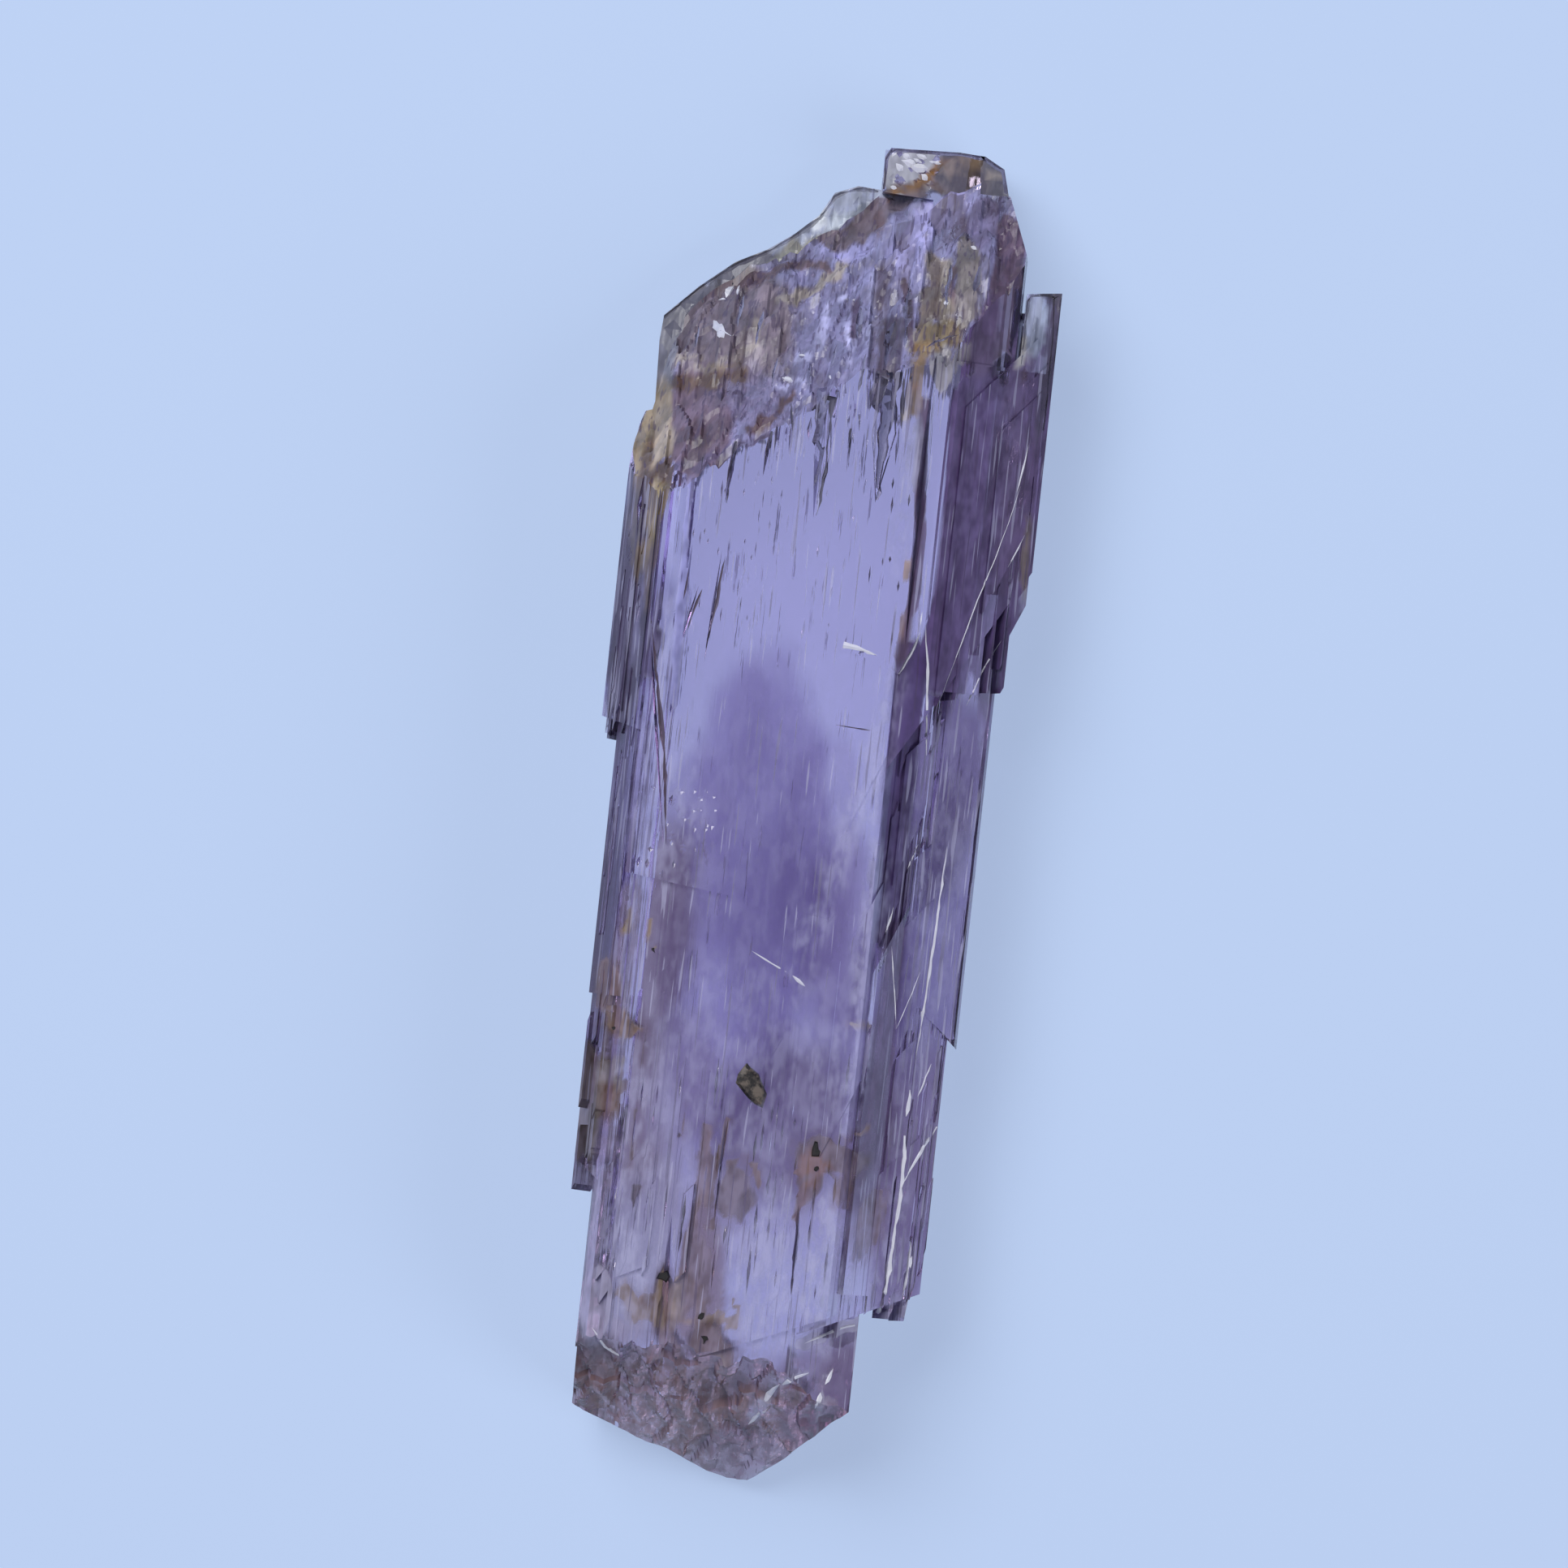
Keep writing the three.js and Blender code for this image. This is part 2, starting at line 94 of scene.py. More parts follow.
def tone(red: int, green: int, blue: int) -> Colour:
    """A linear colour from its display values."""
    return linear(red), linear(green), linear(blue)


class Mark(str, Enum):
    """Attributes that the shapes hand on to the finish."""

    ETCHED = "etched"  # 1 on the etched end, 0.5 on the broken end
    DIRT_AND_SHADE = "dirt"  # brown dirt and painted shade in hollows, cracks and pits
    FROST_AND_HIGHLIGHT = "frost"  # how white and rough a ledge is: frost, with a painted highlight on ledges and glints
    LANCE_SHADE = "lance"  # painted shade on the dark walls of lance-shaped pits, shards and rims
    TINT = "tint"  # the colour of the veils, most of which are painted shade
    STAIN_AND_PAINTED_LIGHT = "stain"  # the colour of the stains, and of painted shade and highlights among them
    COVER = "cover"  # how far the stains and painted shade hide the crystal
    LINES = "lines"  # how clearly the growth lines show; their light lines are painted highlights
    FACETS = "facets"  # how strongly the surface is broken into small facets, each lighter or darker as painted light and shade
    HAZE = "haze"  # how cloudy the crystal is


# ---------------------------------------------------------------- node building


class Term:
    """A node output that can be used in Python expressions."""

    def __init__(self, graph: Graph, socket: bpy.types.NodeSocket) -> None:
        """Wraps a socket of a graph."""
        self.graph = graph
        self.socket = socket

    def _join(self, operation: str, first: Any, second: Any) -> Term:
        """Adds the node that joins two terms or numbers.

        Args:
            operation: The Math or Vector Math operation.
            first: The left operand.
            second: The right operand.

        Returns:
            The result as a term.
        """
        kinds = {item.socket.type for item in (first, second) if isinstance(item, Term)}
        if "RGBA" in kinds:
            settings = {"data_type": "RGBA", "blend_type": operation}
            inputs = {"Factor_Float": 1.0, "A_Color": first, "B_Color": second}
            return self.graph.term("ShaderNodeMix", settings, inputs, "Result_Color")
        kind = "ShaderNodeVectorMath" if "VECTOR" in kinds else "ShaderNodeMath"
        return self.graph.term(kind, {"operation": operation}, {0: first, 1: second})

    def __add__(self, other: Any) -> Term:
        """Sum."""
        return self._join("ADD", self, other)

    def __sub__(self, other: Any) -> Term:
        """Difference."""
        return self._join("SUBTRACT", self, other)

    def __rsub__(self, other: Any) -> Term:
        """Difference, reflected."""
        return self._join("SUBTRACT", other, self)

    def __mul__(self, other: Any) -> Term:
        """Product."""
        return self._join("MULTIPLY", self, other)

    def __rmul__(self, other: Any) -> Term:
        """Product, reflected."""
        return self._join("MULTIPLY", other, self)

    def __gt__(self, other: Any) -> Term:
        """1 where this is the greater, and 0 elsewhere."""
        return self._join("GREATER_THAN", self, other)

    def larger(self, other: Any) -> Term:
        """The larger of the two."""
        return self._join("MAXIMUM", self, other)

    def ramp(self, low: float, high: float, end: float = 1.0) -> Term:
        """Rises smoothly from 0 at low to end at high. High may be the smaller one.

        Args:
            low: Where it is 0.
            high: Where it is end.
            end: The value at high.

        Returns:
            The ramp as a term.
        """
        settings = {"interpolation_type": "SMOOTHSTEP", "clamp": True}
        first, last, start, stop = (low, high, 0.0, end) if low < high else (high, low, end, 0.0)
        inputs = {"Value": self, "From Min": first, "From Max": last, "To Min": start, "To Max": stop}
        return self.graph.term("ShaderNodeMapRange", settings, inputs)

    def scaled(self, amount: Any) -> Term:
        """This vector times a number."""
        return self.graph.term("ShaderNodeVectorMath", {"operation": "SCALE"}, {0: self, "Scale": amount})

    def unit(self) -> Term:
        """This vector at a length of 1."""
        return self.graph.term("ShaderNodeVectorMath", {"operation": "NORMALIZE"}, {0: self})

    def toward(self, other: Any, share: Any) -> Term:
        """This colour mixed toward another, by a share from 0 to 1."""
        inputs = {"Factor_Float": share, "A_Color": self, "B_Color": other}
        return self.graph.term("ShaderNodeMix", {"data_type": "RGBA"}, inputs, "Result_Color")


class Graph:
    """The nodes of one tree, each made by a single call."""

    def __init__(self, tree: bpy.types.NodeTree) -> None:
        """Wraps a node tree."""
        self.tree = tree

    @staticmethod
    def _find(sockets: Any, key: str | int) -> bpy.types.NodeSocket:
        """Finds a socket.

        Args:
            sockets: A node's inputs or outputs.
            key: Its number, its identifier or the name of one that is in use.

        Returns:
            The socket.
        """
        if isinstance(key, int):
            return sockets[key]
        for socket in sockets:
            if socket.identifier == key and socket.enabled:
                return socket
        return next(socket for socket in sockets if socket.name == key and socket.enabled)

    def feed(self, socket: bpy.types.NodeSocket, value: Any) -> None:
        """Links a term to a socket, or sets the socket's own value.

        Args:
            socket: The input to feed.
            value: A term, or a plain value.
        """
        if isinstance(value, Term):
            self.tree.links.new(value.socket, socket)
        elif isinstance(value, tuple) and socket.type == "RGBA":
            socket.default_value = (*value[:3], 1.0)
        else:
            socket.default_value = value

    def node(
        self,
        kind: str,
        settings: Mapping[str, Any] | None = None,
        inputs: Mapping[str | int, Any] | None = None,
    ) -> bpy.types.Node:
        """Makes a node.

        Args:
            kind: The node's type.
            settings: Its own settings, such as an operation, which are set first.
            inputs: Values or terms for its inputs, by name, identifier or number.

        Returns:
            The node.
        """
        made = self.tree.nodes.new(kind)
        for name, value in (settings or {}).items():
            setattr(made, name, value)
        for key, value in (inputs or {}).items():
            self.feed(self._find(made.inputs, key), value)
        return made

    def term(
        self,
        kind: str,
        settings: Mapping[str, Any] | None = None,
        inputs: Mapping[str | int, Any] | None = None,
        output: str | int | None = None,
    ) -> Term:
        """Makes a node and returns one of its outputs.

        Args:
            kind: The node's type.
            settings: Its own settings.
            inputs: Values or terms for its inputs.
            output: The output's name or number; the first one in use if left out.

        Returns:
            The output as a term.
        """
        made = self.node(kind, settings, inputs)
        if output is None:
            return Term(self, next(socket for socket in made.outputs if socket.enabled))
        return Term(self, self._find(made.outputs, output))


class GeometryTree(Graph):
    """A Geometry Nodes tree with named inputs, which changes a mesh and is then applied to it."""

    def __init__(self, name: str) -> None:
        """Starts an empty tree with a geometry input and output.

        Args:
            name: The tree's name.
        """
        super().__init__(bpy.data.node_groups.new(name, "GeometryNodeTree"))
        for way in ("INPUT", "OUTPUT"):
            self.tree.interface.new_socket("Geometry", in_out=way, socket_type="NodeSocketGeometry")
        self.entry = self.tree.nodes.new("NodeGroupInput")
        self.exit = self.tree.nodes.new("NodeGroupOutput")
        self.keys: dict[str, str] = {}

    def sizes(self, **kinds: str) -> list[Term]:
        """Adds named inputs.

        Args:
            kinds: Each input's kind, such as Float or Vector, by its name.

        Returns:
            The inputs as terms, in the same order.
        """
        for name, kind in kinds.items():
            item = self.tree.interface.new_socket(name, in_out="INPUT", socket_type=f"NodeSocket{kind}")
            self.keys[name] = item.identifier
        return [Term(self, self._find(self.entry.outputs, self.keys[name])) for name in kinds]

    @property
    def body(self) -> Term:
        """The geometry that comes in."""
        return Term(self, self.entry.outputs[0])

    def random(self, low: Any, high: Any, seed: Term, step: int, vector: bool = False) -> Term:
        """A random number or vector for each point.

        Args:
            low: The least value.
            high: The greatest value.
            seed: The bundle's seed.
            step: What is added to the seed, so that each use differs.
            vector: Whether it is a vector.

        Returns:
            The random value.
        """
        kind = "FLOAT_VECTOR" if vector else "FLOAT"
        inputs = {"Min": low, "Max": high, "Seed": seed + step}
        return self.term("FunctionNodeRandomValue", {"data_type": kind}, inputs)

    def marked(self, shape: Term, mark: Mark, amount: Any) -> Term:
        """Writes a mark on every face of a shape.

        Args:
            shape: The geometry.
            mark: The attribute.
            amount: Its value.

        Returns:
            The marked geometry.
        """
        settings = {"data_type": "FLOAT", "domain": "FACE"}
        inputs = {"Geometry": shape, "Name": mark.value, "Value": amount}
        return self.term("GeometryNodeStoreNamedAttribute", settings, inputs)

    def finish(self, shapes: Term, cut: bool, finish: Term) -> None:
        """Joins the shapes to the body or cuts them out of it, and ends the tree.

        Args:
            shapes: The instances or the mesh to join or cut.
            cut: Whether they are cut out.
            finish: The material input.
        """
        settings = {"operation": "DIFFERENCE" if cut else "UNION", "solver": "MANIFOLD"}
        whole = self.node("GeometryNodeMeshBoolean", settings, {"Mesh 1" if cut else "Mesh 2": self.body})
        self.feed(self._find(whole.inputs, "Mesh 2"), shapes)
        plain = self.term("GeometryNodeRealizeInstances", None, {"Geometry": Term(self, whole.outputs[0])})
        dressed = self.term("GeometryNodeSetMaterial", None, {"Geometry": plain, "Material": finish})
        self.feed(self.exit.inputs[0], dressed)

    def apply(self, target: bpy.types.Object, values: Mapping[str, Any]) -> None:
        """Runs the tree on an object and keeps the result as its plain mesh.

        Args:
            target: The object.
            values: What each named input is set to.
        """
        modifier = target.modifiers.new(self.tree.name, "NODES")
        modifier.node_group = self.tree
        for name, value in values.items():
            modifier[self.keys[name]] = value
        keep_result(target, modifier)


# ---------------------------------------------------------------- mesh building


def closed_mesh(name: str, points: Sequence[Spot], faces: Sequence[Sequence[int]]) -> bpy.types.Mesh:
    """Makes a closed mesh with its faces turned outwards.

    Args:
        name: The mesh's name.
        points: Its points, in millimetres.
        faces: Its faces, as point numbers.

    Returns:
        The mesh, in metres.
    """
    mesh = bpy.data.meshes.new(name)
    mesh.from_pydata([Vector(point) * MM for point in points], [], faces)
    draft = bmesh.new()
    draft.from_mesh(mesh)
    bmesh.ops.recalc_face_normals(draft, faces=draft.faces)
    draft.to_mesh(mesh)
    draft.free()
    return mesh


def write(mesh: bpy.types.Mesh, name: str, domain: str, values: Any, kind: str = "FLOAT") -> None:
    """Writes an attribute, of FLOAT or FLOAT_COLOR kind, to a mesh's faces, corners or points."""
    held = mesh.attributes.new(name, kind, domain)
    held.data.foreach_set("value" if kind == "FLOAT" else "color", values)


def show(name: str, mesh: bpy.types.Mesh) -> bpy.types.Object:
    """Puts a mesh in the scene as an object at the origin.

    Args:
        name: The object's name.
        mesh: The mesh.

    Returns:
        The object.
    """
    piece = bpy.data.objects.new(name, mesh)
    bpy.context.scene.collection.objects.link(piece)
    return piece


def keep_result(target: bpy.types.Object, modifier: bpy.types.Modifier) -> None:
    """Makes what a modifier gives the object's own mesh, and removes the modifier.

    Args:
        target: The object.
        modifier: Its only modifier.
    """
    depsgraph = bpy.context.evaluated_depsgraph_get()
    result = bpy.data.meshes.new_from_object(target.evaluated_get(depsgraph))
    target.modifiers.remove(modifier)
    target.data = result


def chance(column: float, row: float, seed: float = 0.0) -> float:
    """A steady random number from 0 to 1 for a cell of a grid."""
    value = math.sin(column * 12.9898 + row * 78.233 + seed * 37.719) * 43758.5453
    return value - math.floor(value)


def cut_away(target: bpy.types.Object, tool: bpy.types.Object) -> None:
    """Cuts a tool's shape out of an object, and takes the tool out of the scene.

    Args:
        target: The object that changes.
        tool: The closed mesh that it is cut with.
    """
    modifier = target.modifiers.new("cut", "BOOLEAN")
    modifier.solver = "MANIFOLD"
    modifier.operation = "DIFFERENCE"
    modifier.object = tool
    keep_result(target, modifier)
    bpy.data.objects.remove(tool)


# ---------------------------------------------------------------- the two ends


def saw(value: float) -> float:
    """A wave that climbs slowly and drops at once, between -1 and 1."""
    return 2 * (value - math.floor(value)) - 1


def etching(across: float, through: float) -> float:
    """The solid's own etched relief.

    Args:
        across: A place on the face, in millimetres.
        through: The same in the face's other direction.

    Returns:
        How far it stands out, between about -1 and 1.
    """
    sway = 0.35 * math.sin(1.1 * through + 0.4 * across)
    broad = math.sin(1.15 * across + 1.3 * sway) * math.cos(0.75 * through - 0.3 * across)
    ledges = saw(0.62 * across + sway + 0.12 * through)
    ribs = abs(math.sin(2.9 * across + 0.9 * math.sin(1.7 * through))) - 0.6
    waves = math.sin(3.7 * across + through) * math.sin(2.3 * through - 0.8 * across)
    return 0.45 * broad + 0.35 * ledges + 0.5 * ribs - 0.9 * max(0.0, waves - 0.45)


@dataclass(frozen=True)
class LathTips:
    """Relief of a bundle of laths that end at different lengths, each tip flat or slightly tilted."""

    width: float  # of a lath
    drop: float  # height of a step on it
    depth: float  # how far the lowest tips lie back
    seed: float

    def at(self, across: float, through: float) -> float:
        """Finds the tip at a place.

        Args:
            across: The place, in millimetres.
            through: The same in the face's other direction.

        Returns:
            How far back the tip lies, from 0 to depth.
        """
        wander = 0.45 * noise.noise(Vector((across * 0.8, through * 0.6, self.seed)))
        lane = across / self.width + wander
        column = math.floor(lane)
        level = through / self.drop + 4.7 * chance(column, 3, self.seed)
        row = math.floor(level)
        tilt = (lane - column - 0.5) * (chance(column, row, self.seed + 1) - 0.5)
        slope = (level - row - 0.5) * (chance(row, column, self.seed + 2) - 0.5)
        back = chance(column, row, self.seed) ** 1.6 + 0.9 * tilt + 0.7 * slope
        return self.depth * min(max(back, 0.0), 1.0)


@dataclass(frozen=True)
class Slope:
    """A steep face y = base + across * x + up * (front - z)."""

    base: float
    across: float
    up: float
    front: float = 7.4

    def at(self, x: float, z: float) -> float:
        """Where the face is along Y."""
        return self.base + self.across * x + self.up * (self.front - z)


@dataclass
class ReliefCutter:
    """A slab that cuts away everything beyond an uneven surface that faces up or down the crystal."""

    name: str
    x_range: Place
    z_range: Place
    way: int  # 1 towards the etched end, -1 towards the broken one
    mark: float  # what the cut faces get as their etched mark
    surface: Callable[[float, float], float]
    tips: tuple[LathTips, ...]
    setback: float = 0.13  # how far behind the solid's own face the finer one starts
    spacing: float = 0.1

    def _relief(self, x: float, z: float) -> tuple[float, float]:
        """Works out the surface at a place.

        Args:
            x: The place across the crystal.
            z: The place above its back face.

        Returns:
            Where the surface is along Y, and how much dirt and painted shade lies there.
        """
        back = sum(tips.at(x, z) for tips in self.tips)
        most = sum(tips.depth for tips in self.tips)
        grain = 0.03 * noise.noise(Vector((x * 4.0, 1.7, z * 4.0)))
        y = self.surface(x, z) - self.way * (self.setback + back + grain)
        return y, min(1.0, max(0.0, back / most * 1.9 - 0.6))

    def build(self) -> bpy.types.Object:
        """Makes the slab.

        Returns:
            The slab as an object, with its marks on it.
        """
        reach = BEYOND * self.way
        columns = round((self.x_range[1] - self.x_range[0]) / self.spacing)
        rows = round((self.z_range[1] - self.z_range[0]) / self.spacing)
        points: list[Spot] = []
        dirt: list[float] = []
        for side in range(2):
            for i in range(columns + 1):
                x = self.x_range[0] + i * self.spacing
                for j in range(rows + 1):
                    z = self.z_range[0] + j * self.spacing
                    y, dirty = self._relief(x, z) if side == 0 else (reach, 0.0)
                    points.append((x, y, z))
                    dirt.append(dirty)
        sheet = (columns + 1) * (rows + 1)
        faces: list[tuple[int, ...]] = []
        for i in range(columns):
            for j in range(rows):
                a = i * (rows + 1) + j
                b = a + rows + 1
                faces.append((a, b, b + 1, a + 1))
                faces.append((a + sheet, a + 1 + sheet, b + 1 + sheet, b + sheet))
        rim = [i * (rows + 1) for i in range(columns + 1)]
        rim += [columns * (rows + 1) + j for j in range(1, rows + 1)]
        rim += [i * (rows + 1) + rows for i in range(columns - 1, -1, -1)]
        rim += [j for j in range(rows - 1, 0, -1)]
        for a, b in zip(rim, rim[1:] + rim[:1]):
            faces.append((a, a + sheet, b + sheet, b))
        mesh = closed_mesh(self.name, points, faces)
        write(mesh, Mark.ETCHED, "FACE", [self.mark] * len(mesh.polygons))
        write(mesh, Mark.DIRT_AND_SHADE, "CORNER", [dirt[loop.vertex_index] for loop in mesh.loops])
        return show(self.name, mesh)


@dataclass(frozen=True)
class Lump:
    """A rounded lump on the etched end, with its middle and reach along X and Z."""

    x: float
    z: float
    reach_x: float
    reach_z: float
    height: float

    def at(self, x: float, z: float) -> float:
        """How far it stands out at a place."""
        away = math.hypot((x - self.x) / self.reach_x, (z - self.z) / self.reach_z)
        return self.height * math.sqrt(max(0.0, 1 - away * away))


@dataclass
class EtchedEnd:
    """The oblique etched end: the solid's two steep faces, cut again as a crowd of lath tips."""

    left: Slope = Slope(16.15, 0.78, 1.11)
    right: Slope = Slope(16.2, 0.35, 1.45)
    relief: float = 0.3
    lumps: tuple[Lump, ...] = (
        Lump(-4.5, 3.1, 2.4, 1.9, 1.0),
        Lump(-5.3, 5.6, 1.5, 1.2, 0.4),
        Lump(4.1, 5.5, 1.1, 1.2, 0.5),
        Lump(1.6, 4.4, 1.6, 0.8, 0.4),
    )
    crest_z: float = 3.4  # the diagonal ridge, at x = 0
    crest_lean: float = -0.35
    crest_reach: float = 0.5
    crest_height: float = 0.35
    crest_left: float = -3.9
    plate_top: float = 1.62  # the thin plate behind the slope stays as it is
    block_top: float = 3.16  # and so does the block at the summit
    block_side: float = 0.5
    finger_side: float = 6.25
    tips: tuple[LathTips, ...] = (LathTips(0.62, 1.7, 0.44, 1), LathTips(0.3, 0.9, 0.07, 5))

    def surface(self, x: float, z: float) -> float:
        """Works out the solid's etched face at a place.

        Args:
            x: The place across the crystal.
            z: The place above its back face.

        Returns:
            Where the face is along Y.
        """
        off_crest = abs(z - self.crest_z - self.crest_lean * x)
        crest = self.crest_height * max(0.0, 1 - off_crest / self.crest_reach)
        out = max(crest if x > self.crest_left else 0.0, *(lump.at(x, z) for lump in self.lumps))
        plane = min(self.left.at(x, z), self.right.at(x, z))
        return plane + out + self.relief * etching(x, z)

    def cut(self, body: bpy.types.Object) -> None:
        """Cuts the finer relief into the body, beside the plate and beside the block.

        Args:
            body: The crystal.
        """
        ranges = {
            "etch_left": ((-CLEAR, self.block_side), (self.plate_top, CLEAR)),
            "etch_right": ((self.block_side, self.finger_side), (self.block_top, CLEAR)),
        }
        for name, (x_range, z_range) in ranges.items():
            tool = ReliefCutter(name, x_range, z_range, 1, 1.0, self.surface, self.tips)
            cut_away(body, tool.build())


@dataclass
class BrokenEnd:
    """The chipped bevel over the broken end."""

    bevel: Slope = Slope(-20.3, -0.08, -0.72)
    relief: float = 0.3
    tips: tuple[LathTips, ...] = (LathTips(1.5, 1.8, 0.26, 11), LathTips(0.6, 0.8, 0.04, 14))

    def surface(self, x: float, z: float) -> float:
        """Where the solid's broken face is along Y."""
        return self.bevel.at(x, z) + self.relief * etching(1.1 * x + 4, z)

    def cut(self, body: bpy.types.Object) -> None:
        """Cuts the finer relief into the body."""
        tool = ReliefCutter("break", (-CLEAR, CLEAR), (-0.5, CLEAR), -1, 0.5, self.surface, self.tips)
        cut_away(body, tool.build())


# ---------------------------------------------------------------- laths, pits and lines


# How wide laths are, from the least to the most.
THIN = (0.1, 0.3)
BROAD = (0.2, 0.5)
WIDE = (0.2, 0.7)


@dataclass(frozen=True)
class LathBundle:
    """Thin laths that grow side by side on a slanted face, each ending in its own slanted step."""

    first: Place  # left edge of the face, as x and z
    last: Place  # right edge
    reach: Place  # where along Y their middles lie
    count: int
    width: Place
    length: Place
    rise: Place
    slant: float  # how far the ends run along Y, as a share of the length
    seed: int
    thick: float = 0.9  # most of which is inside the crystal

    def values(self, finish: bpy.types.Material) -> dict[str, Any]:
        """Gives the tree's inputs.

        Args:
            finish: The crystal's material.

        Returns:
            What each named input is set to, in metres.
        """
        return {
            "count": self.count,
            "low_corner": (self.first[0] * MM, self.reach[0] * MM, self.first[1] * MM),
            "high_corner": (self.last[0] * MM, self.reach[0] * MM, self.last[1] * MM),
            "run": (self.reach[1] - self.reach[0]) * MM,
            "least_size": (self.width[0] * MM, self.length[0] * MM, self.thick * MM),
            "most_size": (self.width[1] * MM, self.length[1] * MM, self.thick * MM),
            "least_rise": (self.rise[0] - self.thick / 2) * MM,
            "most_rise": (self.rise[1] - self.thick / 2) * MM,
            "slant": self.slant,
            "seed": self.seed,
            "finish": finish,
        }


class Strewer:
    """Runs its Geometry Nodes tree on the body once for each of several bundles or fields."""

    tree: GeometryTree

    def strew(self, body: bpy.types.Object, groups: Iterable[Any], finish: bpy.types.Material) -> None:
        """Strews bundles of laths or fields of pits over the body."""
        for group in groups:
            self.tree.apply(body, group.values(finish))


class LathGrower(Strewer):
    """Grows bundles of laths on the body."""

    narrower: float = 0.42  # how much narrower a lath's top is than its foot, as a share
    shorter: float = 0.035

    def __init__(self) -> None:
        """Builds the tree."""
        tree = GeometryTree("grow_laths")
        count, seed, finish = tree.sizes(count="Int", seed="Int", finish="Material")
        low_corner, high_corner = tree.sizes(low_corner="Vector", high_corner="Vector")
        least_size, most_size = tree.sizes(least_size="Vector", most_size="Vector")
        least_rise, most_rise = tree.sizes(least_rise="Float", most_rise="Float")
        run, slant = tree.sizes(run="Float", slant="Float")

        across = high_corner - low_corner
        share = tree.random(0.0, 1.0, seed, 0)
        along = tree.random(0.0, run, seed, 1)
        rise = tree.random(least_rise, most_rise, seed, 2)
        size = tree.random(least_size, most_size, seed, 3, vector=True)

        lengthwise = tree.term("ShaderNodeCombineXYZ", None, {"Y": along})
        crossing = {"operation": "CROSS_PRODUCT"}
        upright = tree.term("ShaderNodeVectorMath", crossing, {0: across, 1: (0.0, 1.0, 0.0)})
        place = low_corner + across.scaled(share) + lengthwise + upright.unit().scaled(rise)
        points = tree.term("GeometryNodePoints", None, {"Count": count, "Position": place})

        block = tree.term("GeometryNodeMeshCube", None, {"Size": (1.0, 1.0, 1.0)}, "Mesh")
        position = tree.term("GeometryNodeInputPosition")
        parts = tree.node("ShaderNodeSeparateXYZ", None, {0: position})
        x, y, z = (Term(tree, output) for output in parts.outputs)
        top = z > 0.0
        narrowed = x * (1 - self.narrower * top)
        shortened = y * (1 - self.shorter * top) + slant * x
        shape = tree.term("ShaderNodeCombineXYZ", None, {"X": narrowed, "Y": shortened, "Z": z})
        lath = tree.term("GeometryNodeSetPosition", None, {"Geometry": block, "Position": shape})

        aligned = {"axis": "X", "pivot_axis": "Y"}
        turn = tree.term("FunctionNodeAlignRotationToVector", aligned, {"Vector": across})
        inputs = {"Points": points, "Instance": lath, "Rotation": turn, "Scale": size}
        laths = tree.term("GeometryNodeInstanceOnPoints", None, inputs)
        tree.finish(laths, cut=False, finish=finish)
        self.tree = tree


@dataclass(frozen=True)
class PitField:
    """Small lens-shaped pits that are pointed along the crystal, strewn over a flat area."""

    low: Spot
    high: Spot
    count: int
    width: Place
    length: Place
    depth: float
    # how much dirt and painted shade the pits get
    dirt: float
    seed: int

    def values(self, finish: bpy.types.Material) -> dict[str, Any]:
        """Gives the tree's inputs.

        Args:
            finish: The crystal's material.

        Returns:
            What each named input is set to, in metres.
        """
        return {
            "count": self.count,
            "low_corner": tuple(value * MM for value in self.low),
            "high_corner": tuple(value * MM for value in self.high),
            "least_size": (self.width[0] * MM, self.length[0] * MM, self.depth * MM),
            "most_size": (self.width[1] * MM, self.length[1] * MM, self.depth * 2 * MM),
            "dirt": self.dirt,
            "seed": self.seed,
            "finish": finish,
        }


class PitCutter(Strewer):
    """Cuts fields of pits into the body."""

    def __init__(self) -> None:
        """Builds the tree."""
        tree = GeometryTree("cut_pits")
        count, seed, dirt, finish = tree.sizes(count="Int", seed="Int", dirt="Float", finish="Material")
        low_corner, high_corner = tree.sizes(low_corner="Vector", high_corner="Vector")
        least_size, most_size = tree.sizes(least_size="Vector", most_size="Vector")

        place = tree.random(low_corner, high_corner, seed, 0, vector=True)
        size = tree.random(least_size, most_size, seed, 1, vector=True)
        points = tree.term("GeometryNodePoints", None, {"Count": count, "Position": place})
        ball = {"Segments": 4, "Rings": 2, "Radius": 0.5}
        lens = tree.term("GeometryNodeMeshUVSphere", None, ball, "Mesh")
        quarter = (math.pi / 2, 0.0, 0.0)
        lens = tree.term("GeometryNodeTransform", None, {"Geometry": lens, "Rotation": quarter})
        lens = tree.marked(lens, Mark.DIRT_AND_SHADE, dirt)
        inputs = {"Points": points, "Instance": lens, "Scale": size}
        lenses = tree.term("GeometryNodeInstanceOnPoints", None, inputs)
        tree.finish(lenses, cut=True, finish=finish)
        self.tree = tree


class Taper(Enum):
    """How the width of a line changes from its first point to its last."""

    EVEN = "even"
    BOTH = "both"  # pointed at both ends
    LAST = "last"  # pointed at its last point only

    def share(self, along: float) -> float:
        """Works out the width at a place.

        Args:
            along: The place, from 0 at the line's start to 1 at its end.

        Returns:
            The width, as a share of the full one.
        """
        if self is Taper.EVEN:
            return 1.0
        if self is Taper.LAST:
            return max(0.06, (1 - along) ** 0.7)
        return max(0.08, math.sin(math.pi * along) ** 0.6)


